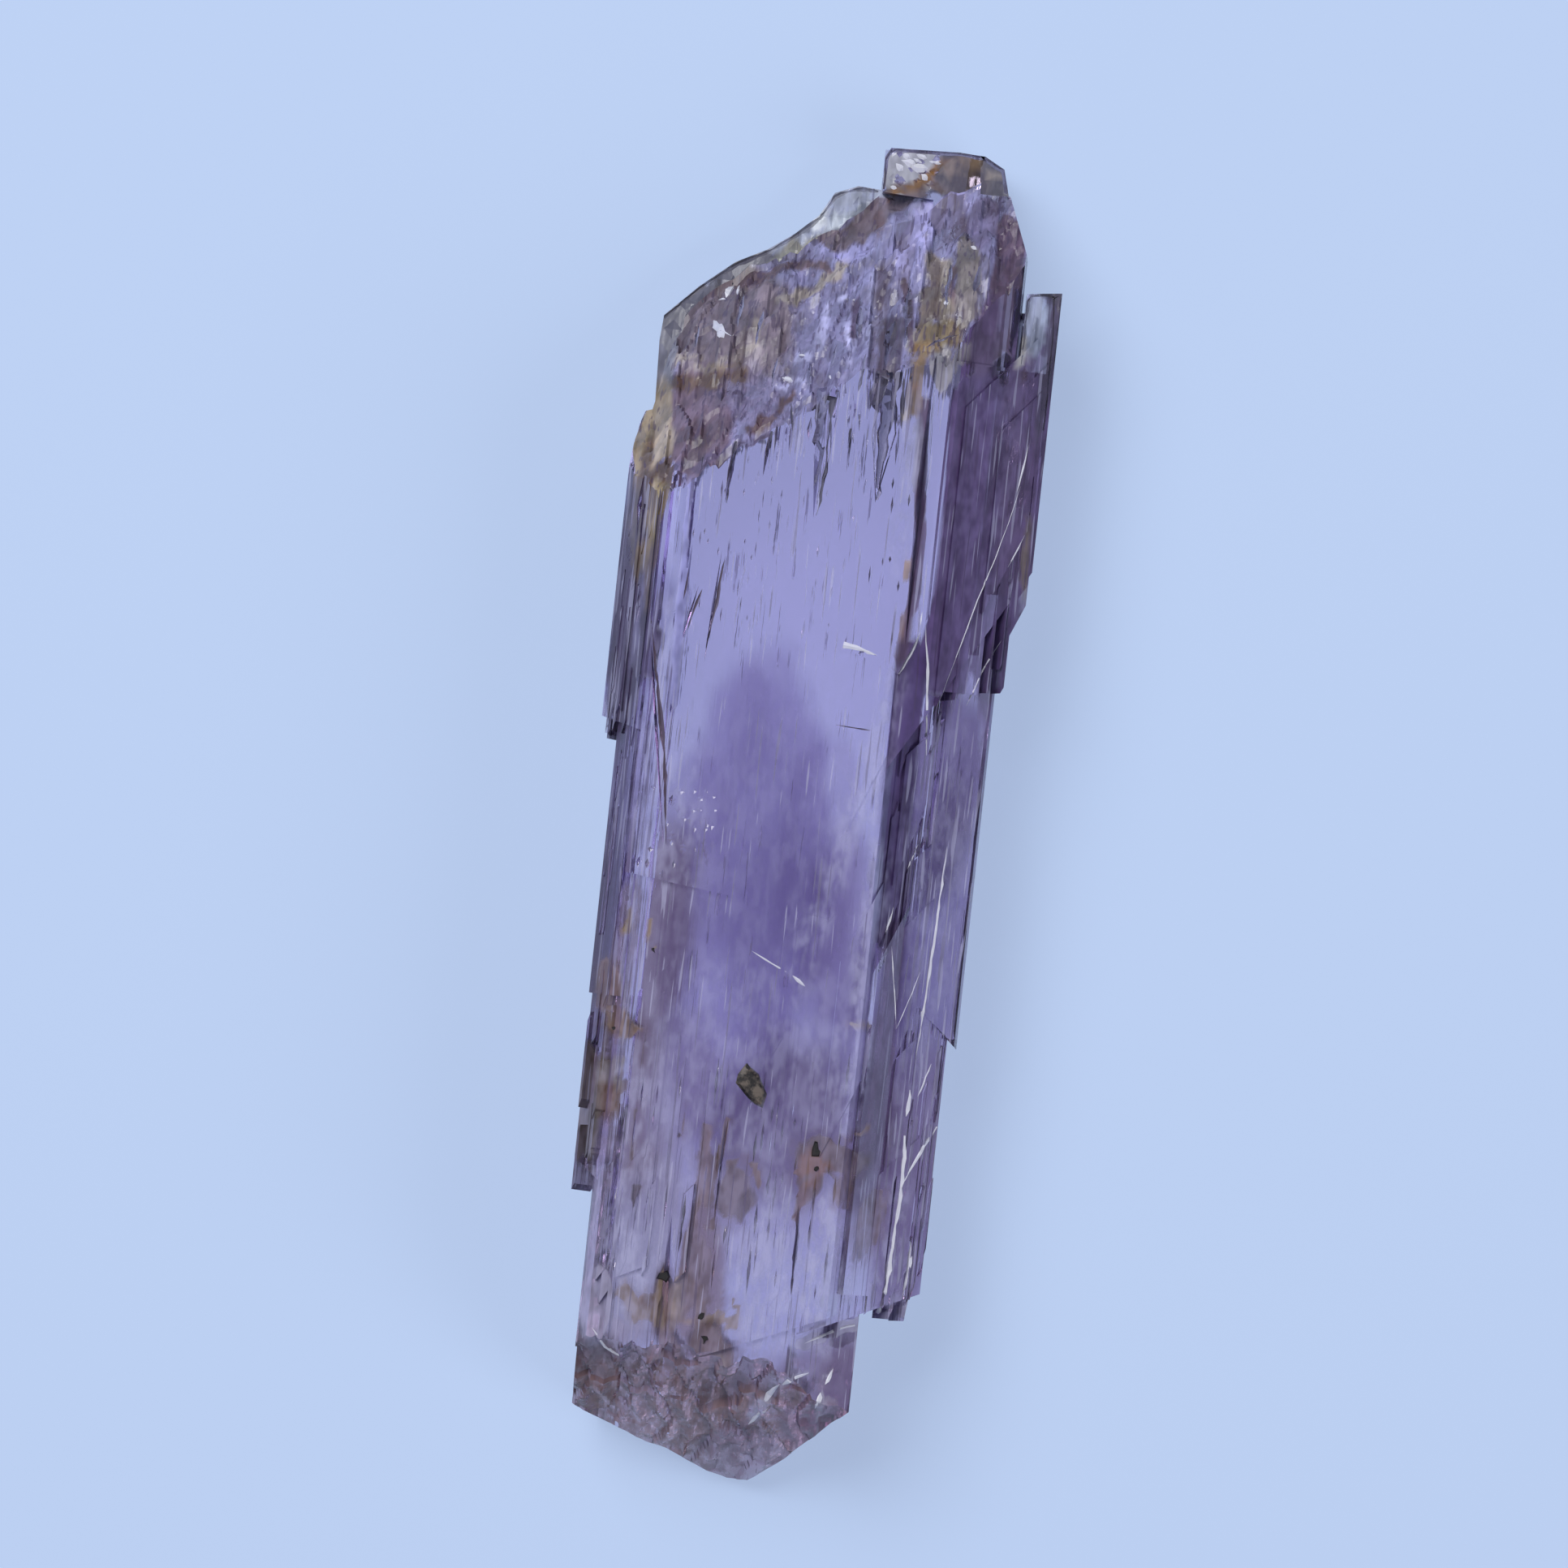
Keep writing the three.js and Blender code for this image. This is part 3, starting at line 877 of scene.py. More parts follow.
@dataclass(frozen=True)
class Line:
    """A ledge or a groove that runs over the surface through a few points, as x and y."""

    points: tuple[Place, ...]
    width: float
    taper: Taper = Taper.BOTH
    uneven: float = 1.1

    def samples(self, step: float = 0.28) -> list[tuple[float, float, float]]:
        """Evenly spaced places on the line.

        Args:
            step: The distance between them.

        Returns:
            x, y and the line's half width at each.
        """
        lengths = [math.dist(a, b) for a, b in zip(self.points, self.points[1:])]
        total = sum(lengths)
        count = max(4, round(total / step))
        found = []
        for i in range(count + 1):
            along = total * i / count
            left = along
            part = 0
            while part < len(lengths) - 1 and left > lengths[part]:
                left -= lengths[part]
                part += 1
            share = min(1.0, left / lengths[part])
            (ax, ay), (bx, by) = self.points[part], self.points[part + 1]
            jitter = 0.3 * self.width * noise.noise(Vector((ax * 3.1, along * 1.9, ay)))
            uneven = 1 + self.uneven * noise.noise(Vector((along * 2.3, ax, ay * 1.7)))
            reach = self.width / 2 * self.taper.share(i / count) * max(0.3, uneven)
            found.append((ax + (bx - ax) * share + jitter, ay + (by - ay) * share, reach))
        return found


class LineSweeper:
    """The Geometry Nodes tree that raises ledges or cuts grooves along lines on the surface."""

    def __init__(self, cut: bool, mark: Mark, flatness: float) -> None:
        """Builds the tree.

        Args:
            cut: Whether the lines are cut in, or raised.
            mark: The mark that their faces get.
            flatness: Their height as a share of their width.
        """
        tree = GeometryTree("cut_grooves" if cut else "raise_ledges")
        lines, amount, finish = tree.sizes(lines="Object", amount="Float", finish="Material")
        wires = tree.term("GeometryNodeObjectInfo", None, {"Object": lines}, "Geometry")
        curves = tree.term("GeometryNodeMeshToCurve", None, {"Mesh": wires})
        curves = tree.term("GeometryNodeSetCurveNormal", {"mode": "Z_UP"}, {"Curve": curves})
        reach = tree.term("GeometryNodeInputNamedAttribute", {"data_type": "FLOAT"}, {"Name": "reach"})
        ring = tree.term("GeometryNodeCurvePrimitiveCircle", None, {"Resolution": 4, "Radius": 1.0})
        press = {"Geometry": ring, "Scale": (1.0, flatness, 1.0)}
        ring = tree.term("GeometryNodeTransform", None, press)
        swept = {"Curve": curves, "Profile Curve": ring, "Scale": reach, "Fill Caps": True}
        body = tree.term("GeometryNodeCurveToMesh", None, swept)
        tree.finish(tree.marked(body, mark, amount), cut=cut, finish=finish)
        self.tree = tree

    def sweep_on(
        self, body: bpy.types.Object, lines: Sequence[Line], amount: float, finish: bpy.types.Material
    ) -> None:
        """Puts the lines on the body's surface and joins or cuts them.

        Args:
            body: The crystal.
            lines: The lines.
            amount: The value of their mark.
            finish: The crystal's material.
        """
        surface = BVHTree.FromPolygons(
            [vertex.co for vertex in body.data.vertices],
            [tuple(face.vertices) for face in body.data.polygons],
        )
        points: list[Vector] = []
        edges: list[tuple[int, int]] = []
        reach: list[float] = []
        for line in lines:
            start = len(points)
            for x, y, half in line.samples():
                hit = surface.ray_cast(Vector((x, y, ABOVE)) * MM, Vector((0, 0, -1)))[0]
                if hit is not None:
                    top = CAD_BOX[1][2] - half * MM
                    points.append(Vector((hit.x, hit.y, min(hit.z, top))))
                    reach.append(half * MM)
            edges += [(i, i + 1) for i in range(start, len(points) - 1)]
        mesh = bpy.data.meshes.new("lines")
        mesh.from_pydata(points, edges, [])
        write(mesh, "reach", "POINT", reach)
        wires = show("lines", mesh)
        self.tree.apply(body, {"lines": wires, "amount": amount, "finish": finish})
        bpy.data.objects.remove(wires)


# ---------------------------------------------------------------- veils, stains and growth lines


class Layer(Enum):
    """Which part of the surface a stain or veil lies on."""

    FRONT = "front"  # the broad front face and the flanks beside it
    RIGHT = "right"  # the slanted faces on the right
    LEFT = "left"
    BACK = "back"
    ETCHED = "etched"
    BROKEN = "broken"
    PLATE = "plate"  # the top of the thin plate behind the etched end
    NUB = "nub"  # the top of the block at the summit
    ANY = "any"


FRONT, RIGHT, LEFT, BACK, ETCHED, BROKEN, PLATE, NUB, ANY = Layer


def fade(value: np.ndarray, low: float, high: float) -> np.ndarray:
    """Rises smoothly from 0 at low to 1 at high. High may be the smaller one."""
    share = np.clip((value - low) / (high - low), 0.0, 1.0)
    return share * share * (3 - 2 * share)


def sway(u: np.ndarray, v: np.ndarray, seed: float) -> np.ndarray:
    """Smooth, uneven waves over a plane.

    Args:
        u: One coordinate of each place.
        v: The other.
        seed: Which waves they are.

    Returns:
        Their heights, between about -1 and 1.
    """
    slow = np.sin(0.9 * u + 1.7 * np.sin(0.6 * v + seed) + seed)
    fast = np.sin(2.3 * u - 1.1 * v + 1.3 * np.sin(1.4 * v - seed))
    quick = np.sin(4.9 * u + 2.2 * v + 2.1 * seed + np.sin(3.1 * v))
    return 0.5 * slow + 0.3 * fast + 0.2 * quick


@dataclass(frozen=True)
class Ground:
    """Each corner of the mesh: its place in millimetres, how it was cut and which layers it is on."""

    x: np.ndarray
    y: np.ndarray
    etched: np.ndarray
    layers: dict[Layer, np.ndarray]  # from 0 to 1
    bends: dict[int, tuple[np.ndarray, np.ndarray]] = field(default_factory=dict)

    @classmethod
    def read(cls, mesh: bpy.types.Mesh) -> Ground:
        """Reads the corners of a mesh.

        Args:
            mesh: The crystal's mesh.

        Returns:
            Its corners.
        """
        count = len(mesh.loops)
        places = np.empty(len(mesh.vertices) * 3, dtype=np.float32)
        mesh.vertices.foreach_get("co", places)
        corner = np.empty(count, dtype=np.int64)
        mesh.loops.foreach_get("vertex_index", corner)
        x, y, z = np.ascontiguousarray((places.reshape(-1, 3)[corner] / np.float32(MM)).T)
        sides = np.empty(len(mesh.polygons), dtype=np.int64)
        mesh.polygons.foreach_get("loop_total", sides)
        normals = np.empty(len(mesh.polygons) * 3, dtype=np.float32)
        mesh.polygons.foreach_get("normal", normals)
        side, _, up = np.repeat(normals.reshape(-1, 3), sides, axis=0).T
        etched = np.zeros(len(mesh.polygons))
        mesh.attributes[Mark.ETCHED.value].data.foreach_get("value", etched)
        etched = np.repeat(etched, sides)
        # heights above the back face and slants tell the solid's faces apart,
        # and the steep ones round the summit block belong to the etched end too
        beside = (etched < 0.25) & (y > 19.0) & (z > 1.65) & (z < 5.0) & (up < 0.9) & (up > -0.5)
        etched = np.where(beside, 1.0, etched)
        plain = etched < 0.25
        front = plain & (z > 3.4)
        found = {
            FRONT: front,
            RIGHT: front & (side > 0.3),
            LEFT: plain & (z > 0.5) & (side < -0.3),
            BACK: z < 0.05,
            ETCHED: (etched > 0.75) & (z > 1.6),
            BROKEN: (etched > 0.25) & (etched < 0.75),
            PLATE: plain & (z > 1.2) & (z < 1.8) & (y > 12.5),
            NUB: plain & (z > 2.6) & (z < 3.4) & (y > 20.5),
            ANY: np.ones_like(x),
        }
        return cls(x, y, etched, {layer: where * 1.0 for layer, where in found.items()})

    def bent(self, seed: float) -> tuple[np.ndarray, np.ndarray]:
        """Pushes the places about, so that blots get uneven edges.

        Args:
            seed: Picks one of five ways.

        Returns:
            The places along X and Y.
        """
        way = int(abs(seed) * 7) % 5
        if way not in self.bends:
            x = self.x + 0.3 * sway(self.x * 1.6, self.y * 0.8, 2.3 * way)
            y = self.y + 0.5 * sway(self.y * 1.1, self.x * 1.9, 2.3 * way + 4)
            self.bends[way] = (x, y)
        return self.bends[way]


class Area:
    """An area of the crystal, seen from the front."""

    seed: float  # which of the ragged edges it gets
    strength: float
    layer: Layer
    soft: float  # how much of its reach its edge takes up
    clean: bool  # its edge is even rather than ragged

    def reach(self, x: np.ndarray, y: np.ndarray) -> np.ndarray:
        """How far out each corner is, with the middle of the area's edge at 1."""
        raise NotImplementedError

    def mask(self, ground: Ground) -> np.ndarray:
        """Works out where the area shows.

        Args:
            ground: The mesh's corners.

        Returns:
            How strongly it shows at each corner.
        """
        reach = self.reach(*((ground.x, ground.y) if self.clean else ground.bent(self.seed)))
        shown = fade(reach, 1 + self.soft / 2, 1 - self.soft / 2)
        return self.strength * shown * ground.layers[self.layer]


@dataclass(frozen=True)
class Patch(Area):
    """An oval area, and the colour that it has."""

    middle: Place
    half: Place
    colour: Colour = (0.0, 0.0, 0.0)
    strength: float = 0.8
    layer: Layer = FRONT
    soft: float = 0.6
    turn: float = 0.0  # degrees, to the left
    clean: bool = False

    @property
    def seed(self) -> float:
        """From its middle."""
        return sum(self.middle)

    def reach(self, x: np.ndarray, y: np.ndarray) -> np.ndarray:
        """Measures the corners from the middle.

        Args:
            x: Where each corner is along X.
            y: The same along Y.

        Returns:
            How far out each corner is, with the middle of the oval's edge at 1.
        """
        angle = math.radians(self.turn)
        dx, dy = x - self.middle[0], y - self.middle[1]
        across = (dx * math.cos(angle) + dy * math.sin(angle)) / self.half[0]
        along = (dy * math.cos(angle) - dx * math.sin(angle)) / self.half[1]
        return np.hypot(across, along)


@dataclass(frozen=True)
class Ribbon(Area):
    """A band along a line through a few points, and its colour."""

    points: tuple[Place, ...]
    width: float
    colour: Colour = (0.0, 0.0, 0.0)
    strength: float = 0.8
    layer: Layer = FRONT
    soft: float = 0.8
    clean: bool = False

    @property
    def seed(self) -> float:
        """From its first point."""
        return self.points[0][0]

    def reach(self, x: np.ndarray, y: np.ndarray) -> np.ndarray:
        """Measures the corners from the line.

        Args:
            x: Where each corner is along X.
            y: The same along Y.

        Returns:
            How far out each corner is, with the middle of the band's edge at 1.
        """
        nearest = np.full_like(x, 1e9)
        for (ax, ay), (bx, by) in zip(self.points, self.points[1:]):
            run = (bx - ax) ** 2 + (by - ay) ** 2
            share = np.clip(((x - ax) * (bx - ax) + (y - ay) * (by - ay)) / run, 0.0, 1.0)
            away = np.hypot(x - ax - share * (bx - ax), y - ay - share * (by - ay))
            nearest = np.minimum(nearest, away)
        return nearest / (self.width / 2)


# Lines that several areas follow: the dark flank, the steep face under it and the raised sliver's side.
FLANK_LINE = ((4.95, 15.8), (5.07, 12.8), (5.05, 8.4), (4.7, 5.6))
STEEP_LINE = ((3.5, 6.2), (3.55, 3.4), (3.6, -1.0), (3.7, -4.0))
SLIVER_LINE = ((2.95, 15.5), (3.08, 12.7), (3.3, 10.8), (3.34, 8.4), (3.08, 6.0))

# Zones that tint what shines through them. Most are painted shade for dark surroundings seen by refraction.
VEILS: tuple[Area, ...] = (
    # painted shade: the darker arch in the middle, and the deeper violet below it
    Patch((-1.7, -3.6), (2.9, 9.4), (0.46, 0.37, 0.56), 0.95, BACK, 0.24),
    Patch((-1.2, -1.5), (1.9, 5.2), (0.66, 0.61, 0.7), 0.95, BACK, 0.7, 4),
    Patch((0.9, -1.6), (1.6, 4.4), (0.72, 0.66, 0.76), 0.9, BACK, 0.2),
    Patch((-3.7, -2.6), (1.5, 4.6), (0.78, 0.72, 0.8), 0.9, BACK, 0.25),
    Patch((-2.3, 3.0), (0.7, 2.2), (0.82, 0.78, 0.84), 0.9, BACK, 0.3),
    Patch((0.6, -6.3), (2.6, 5.5), (0.54, 0.46, 0.6), 0.9, BACK, turn=12),
    Patch((2.1, -4.4), (1.5, 4.2), (0.42, 0.32, 0.46), 0.9, BACK, 0.7, 8),
    Patch((-5.1, -5.2), (1.9, 4.8), (0.27, 0.15, 0.125), 0.9, BACK, 0.7),
    Patch((-5.2, -11.5), (1.2, 3.4), (0.5, 0.36, 0.34), 0.85, BACK, 0.7),
    Patch((-0.5, -12.5), (6.0, 4.0), (0.72, 0.62, 0.66), 0.8, BACK, 0.7),
    Patch((0.7, -11.6), (2.9, 3.0), (0.24, 0.155, 0.22), 0.9, BACK, 0.7),
    Patch((-1.7, -17.6), (0.8, 3.4), (0.42, 0.27, 0.2), 0.95, soft=0.5),
    Patch((-4.5, -16.5), (1.9, 4.0), (0.72, 0.64, 0.52), 0.9, BACK),
    Patch((-3.6, -10.6), (1.6, 2.6), (0.8, 0.72, 0.68), 0.9, BACK),
    # painted shade: the dark right flank, and its lighter lower part
    Patch((4.75, 12.4), (0.95, 9.0), (0.09, 0.034, 0.085), 1.0, RIGHT, 0.12, 0, True),
    Ribbon(
        ((4.37, 15.8), (4.52, 12.6), (4.5, 8.4), (4.2, 5.6)),
        1.0, (0.09, 0.034, 0.09), 1.0, FRONT, 0.1, True,
    ),
    Patch((5.3, 8.6), (1.0, 3.4), (0.45, 0.34, 0.48), 0.9, RIGHT, clean=True),
    Patch((5.0, 1.5), (1.6, 4.4), (0.11, 0.05, 0.13), 0.92, RIGHT, 0.5),
    Ribbon(STEEP_LINE, 1.15, (0.06, 0.026, 0.06), 0.97, FRONT, 0.15, True),
    Patch((3.9, -8.0), (0.45, 7.5), (0.15, 0.07, 0.13), 0.95, RIGHT, 0.5, -2, True),
    Patch((5.5, -9.0), (1.5, 11.0), (0.42, 0.32, 0.44), 0.95, RIGHT, 0.3, 0, True),
    Patch((5.3, -4.2), (1.4, 5.2), (0.5, 0.5, 0.62), 0.9, RIGHT),
    Patch((5.4, -12.8), (1.4, 5.2), (0.46, 0.36, 0.4), 0.9, RIGHT),
    Ribbon(SLIVER_LINE, 0.36, (0.067, 0.025, 0.05), 0.95, FRONT, 0.3, True),
    Patch((3.35, -2.5), (0.45, 5.0), (0.4, 0.33, 0.42), turn=-7, clean=True),
    # painted shade: the left flank and the edge below it
    Patch((-6.95, 8.0), (0.75, 6.8), (0.05, 0.036, 0.04), 0.97, LEFT, 0.3, 0, True),
    Patch((-6.7, -5.6), (0.5, 9.2), (0.13, 0.095, 0.13), 0.95, LEFT, 0.5, 0, True),
    Patch((-6.2, 5.2), (0.5, 3.4), (0.28, 0.24, 0.34), turn=-6),
    Patch((-6.3, -17.5), (0.5, 4.5), (0.3, 0.24, 0.28), 0.9, ANY, 0.5),
    # the etched end is darker than the front face
    Patch((-4.0, 17.0), (4.2, 4.6), (0.6, 0.52, 0.54), 0.95, ETCHED, 0.4),
    Patch((0.3, 18.4), (3.0, 3.6), (0.85, 0.8, 0.9), 0.9, ETCHED, 0.4),
    Patch((5.6, 19.8), (0.9, 3.6), (0.16, 0.1, 0.14), 0.95, ETCHED, 0.4, 6),
    Patch((-1.5, -22.0), (6.5, 3.5), (0.6, 0.42, 0.4), 0.9, BROKEN, 0.5),
    Patch((3.2, -21.2), (1.9, 2.4), (0.38, 0.26, 0.3), 0.9, ANY),
    # where lamps would glare through steps at the lower left
    Patch((-5.7, -17.2), (0.7, 3.4), (0.4, 0.36, 0.4), 0.95, ANY, clean=True),
    Patch((-3.05, -18.4), (0.4, 1.4), (0.3, 0.2, 0.16), 0.95, ANY, clean=True),
    Patch((3.2, -22.0), (0.7, 1.0), (0.3, 0.22, 0.3), 0.95, BROKEN),
)

MAROON = tone(102, 84, 94)
PLUM = tone(110, 92, 112)
UMBER = tone(88, 66, 60)
CREAM = tone(154, 144, 140)
TAN = tone(144, 134, 130)
OCHRE = tone(134, 108, 70)
RUST = tone(114, 78, 50)
AMBER = tone(124, 90, 54)
LILAC = tone(158, 154, 204)
SHARD_HIGHLIGHT = tone(184, 182, 226)
SILVER_HIGHLIGHT = tone(170, 168, 190)
HAZE = tone(172, 172, 206)
GLASSY = tone(172, 178, 198)

# Stains and hazes that lie on the surface and hide what is behind them, with painted shade and highlights.
STAINS_AND_PAINTED_LIGHT: tuple[Area, ...] = (
    # painted shade on the dark right flank, the steep face and the sliver's side, then on the left flank
    Patch((6.75, 11.6), (1.2, 8.8), tone(92, 74, 118), 0.82, RIGHT, 0.25, 0, True),
    *(Ribbon(FLANK_LINE, 2.05, tone(86, 69, 116), 0.85, layer, 0.08, True) for layer in (FRONT, RIGHT)),
    Patch((6.9, 4.0), (0.9, 3.2), tone(104, 92, 140), 0.6, RIGHT, clean=True),
    Patch((6.5, 7.0), (0.9, 2.4), tone(86, 70, 114), 0.85, ANY, 0.4, 0, True),
    *(Ribbon(STEEP_LINE, 1.15, tone(68, 50, 102), 1.0, layer, 0.15, True) for layer in (FRONT, RIGHT)),
    Ribbon(((3.97, -4.0), (4.05, -8.0), (4.1, -12.5)), 0.9, tone(110, 94, 130), 0.6, FRONT, 0.4, True),
    Ribbon(
        ((3.0, -1.5), (3.08, -4.0), (3.14, -8.0), (3.0, -11.5)),
        0.55, tone(164, 162, 206), 0.66, FRONT, 0.3, True,
    ),
    Ribbon(SLIVER_LINE, 0.46, tone(80, 62, 92), 1.0, FRONT, 0.3, True),
    Ribbon(((-5.75, -3.4), (-5.8, -8.0), (-5.8, -14.5)), 1.1, tone(130, 118, 148), 0.6, ANY, 0.6, True),
    Ribbon(((-5.24, 12.6), (-5.16, 8.0), (-5.05, 3.4)), 0.36, tone(151, 151, 210), 1.0, ANY, 0.3, True),
    Patch((-6.0, 0.5), (0.5, 3.8), tone(124, 120, 166), 0.6, ANY, 0.7),
    Patch((-7.2, 3.6), (0.35, 0.8), tone(84, 78, 104), 0.85, ANY, 0.5),
    Patch((-6.95, 6.4), (0.5, 2.8), tone(78, 68, 102), 0.9, ANY),
    Ribbon(((-6.25, 8.2), (-6.45, 6.6), (-6.7, 5.0)), 0.24, tone(142, 139, 184), 0.9, ANY),
    Patch((-6.2, 5.4), (0.24, 1.0), tone(72, 62, 100), 0.95, ANY, turn=-8),
    Patch((-6.9, -11.4), (0.5, 2.6), tone(104, 92, 94), 0.85, ANY, 0.5),
    Patch((-7.0, 6.6), (0.9, 5.0), tone(80, 70, 98), 0.64, LEFT, 0.5),
    Patch((-6.6, -4.5), (0.6, 7.5), tone(86, 78, 112), 0.5, LEFT),
    # the whole etched end, then the brown mound at its left and the plum below it
    Patch((0.0, 18.0), (9.0, 9.0), tone(134, 130, 170), 0.66, ETCHED, 0.5),
    Patch((-4.6, 17.7), (2.4, 2.7), tone(120, 108, 122), 1.0, ETCHED, 0.4, 20),
    Patch((-4.3, 18.2), (0.9, 1.2), tone(104, 92, 104), 1.0, ETCHED, turn=20),
    Ribbon(((-5.6, 19.2), (-3.7, 19.9), (-2.0, 20.2), (-0.7, 20.2)), 0.5, MAROON, 0.9, ETCHED),
    Patch((-5.3, 13.9), (1.4, 2.1), PLUM, 1.0, ETCHED, 0.5),
    Patch((-3.3, 14.9), (1.2, 1.0), tone(122, 112, 146), 0.6, ETCHED, turn=-35),
    Patch((-5.9, 15.5), (0.7, 0.45), UMBER, 1.0, ETCHED),
    Ribbon(((-5.7, 15.1), (-4.6, 15.2), (-3.8, 15.55)), 0.5, tone(104, 84, 74), 1.0, ETCHED),
    Patch((-5.5, 13.4), (0.8, 0.35), tone(86, 66, 78), 0.8, ETCHED),
    # cream arcs round the mound, and the cream ridge that goes on from it
    Ribbon(((-6.8, 16.0), (-6.1, 16.3), (-5.5, 16.5)), 0.24, CREAM, 0.85, ETCHED),
    Ribbon(
        ((-5.4, 16.1), (-4.9, 15.9), (-4.4, 16.1), (-4.0, 16.4), (-3.6, 16.9), (-3.4, 17.6)),
        0.34, CREAM, 0.8, ETCHED, 0.9,
    ),
    Ribbon(((-5.2, 15.7), (-4.4, 15.8), (-3.8, 16.1)), 0.26, tone(128, 114, 100), 0.85, ETCHED),
    Ribbon(((-2.7, 18.7), (-2.2, 18.8), (-1.6, 19.3), (-0.7, 20.2)), 0.4, CREAM, 1.0, ETCHED, 0.9),
    Ribbon(((-2.0, 15.5), (-2.6, 14.7), (-3.1, 14.1), (-3.5, 13.8)), 0.3, tone(92, 70, 76), 0.85, ANY),
    Ribbon(((-5.9, 11.7), (-5.1, 12.3), (-3.8, 13.3), (-2.6, 14.0)), 0.24, tone(92, 82, 116), 0.8, ANY),
    # lilac pocket and band, with the brown ridge above them
    Patch((-0.4, 20.8), (1.2, 0.5), LILAC, 0.75, ETCHED, turn=15),
    Ribbon(((-1.0, 21.3), (0.0, 22.0), (0.9, 22.8), (1.9, 23.3)), 1.3, tone(112, 99, 112), 0.92, ANY, 0.4),
    Patch((0.56, 22.05), (0.4, 0.6), tone(104, 80, 84), 0.9, ETCHED),
    # the right of the etched end
    Patch((4.2, 22.6), (0.8, 1.1), tone(112, 104, 140), 0.85, ETCHED, 0.5),
    Ribbon(((5.4, 22.6), (5.6, 21.2), (5.5, 19.6), (5.4, 18.2)), 1.1, tone(88, 71, 94), 0.94, ANY, 0.5),
    Patch((5.0, 18.2), (0.6, 1.4), tone(92, 74, 110), 0.85, ANY, 0.5, -14),
    Ribbon(((2.9, 20.9), (2.9, 20.1), (2.7, 19.2)), 0.8, TAN, 0.85, ETCHED, 0.6),
    Ribbon(((0.9, 20.2), (1.5, 20.9), (2.0, 21.7), (2.5, 22.4), (3.4, 23.2)), 1.15, LILAC, 0.88, ETCHED, 0.5),
    Ribbon(((3.9, 21.1), (4.0, 20.0), (4.1, 19.0)), 0.9, tone(124, 116, 120), 0.85, ETCHED, 0.6),
    Ribbon(((2.5, 19.6), (2.6, 18.6), (2.4, 17.4)), 0.5, tone(140, 134, 132), 0.85, ANY, 0.6),
    Ribbon(((3.4, 20.6), (3.4, 19.0)), 0.3, MAROON, 0.9, ETCHED, 0.7),
    Patch((2.9, 18.8), (0.7, 0.6), tone(146, 134, 126), 0.88, ETCHED),
    Patch((3.2, 17.6), (1.1, 0.75), tone(126, 110, 88), 0.85, ANY, turn=25),
    Patch((3.0, 17.4), (0.6, 0.3), OCHRE, 0.95, ANY, turn=25),
    Patch((3.9, 17.2), (0.3, 0.9), tone(142, 136, 140), 0.7, ANY, turn=-15),
    Patch((2.5, 16.2), (0.4, 1.0), tone(126, 104, 82), 0.85, ANY, 0.5),
    Patch((2.5, 15.85), (0.25, 0.2), AMBER, 0.85, ANY),
    Patch((2.41, 15.09), (0.22, 0.2), tone(196, 182, 168), 0.9, ANY),
    Patch((3.4, 16.8), (0.45, 0.6), tone(150, 146, 156), 1.0, ANY, 0.7),
    Patch((2.8, 13.6), (0.3, 1.6), tone(148, 148, 178), 0.6, turn=6),
    # painted light and shade: pale and dark shards in the middle
    Patch((-2.15, 15.8), (0.45, 0.16), SHARD_HIGHLIGHT, 0.85, ANY),
    Patch((-1.73, 16.75), (0.3, 0.13), SHARD_HIGHLIGHT, 0.85, ANY),
    Patch((-0.59, 18.76), (0.3, 0.16), SHARD_HIGHLIGHT, 0.85, ANY),
    Patch((-0.13, 17.6), (0.2, 0.9), SHARD_HIGHLIGHT, 0.7, ANY, 0.7),
    Patch((0.9, 18.6), (0.3, 1.3), SHARD_HIGHLIGHT, 0.65, ANY, 0.7, -6),
    Patch((-1.1, 17.6), (0.25, 1.0), SHARD_HIGHLIGHT, 0.6, ANY, 0.7, -8),
    Patch((0.6, 20.0), (0.2, 0.8), SHARD_HIGHLIGHT, 0.6, ANY, 0.7),
    Ribbon(((0.24, 18.8), (0.21, 17.6)), 0.34, tone(86, 72, 100), 0.85, ANY, 0.7),
    Ribbon(((1.5, 18.4), (1.4, 16.6)), 0.6, tone(84, 77, 100), 0.85, ANY, 0.7),
    Ribbon(((1.95, 19.8), (2.0, 17.4)), 0.3, tone(90, 74, 96), 0.85, ANY, 0.7),
    Ribbon(((1.1, 20.0), (1.0, 19.2)), 0.4, tone(98, 90, 124), 0.8, ANY, 0.7),
    # the summit block: grey and glittering at the left, brown at the right, amber between
    Patch((1.6, 24.1), (1.4, 1.0), tone(166, 166, 176), 0.95, NUB, 0.3),
    Patch((4.1, 24.1), (1.7, 1.4), tone(58, 46, 48), 1.0, NUB, 0.3),
    Patch((1.9, 23.4), (1.3, 0.35), tone(100, 82, 84), 0.95, ANY, turn=4),
    Patch((3.6, 24.3), (0.5, 0.3), tone(112, 92, 74), 0.9, NUB, 0.8),
    Patch((3.1, 24.35), (0.4, 0.3), tone(134, 116, 104), 0.9, NUB),
    Patch((4.55, 24.2), (0.25, 0.25), tone(150, 136, 122), 0.9, NUB),
    Patch((5.05, 23.7), (0.2, 0.6), tone(140, 138, 150), 0.85, NUB),
    Ribbon(((0.9, 23.15), (1.6, 23.3), (2.2, 23.6), (2.5, 24.0), (2.85, 24.4)), 0.36, AMBER, 0.92, ANY, 0.7),
    # the clear plate behind the slope
    Ribbon(
        ((-7.0, 17.0), (-5.8, 18.6), (-3.4, 20.1), (-1.3, 21.8), (0.0, 22.9)),
        2.4, GLASSY, 0.7, PLATE, 0.5,
    ),
    Ribbon(
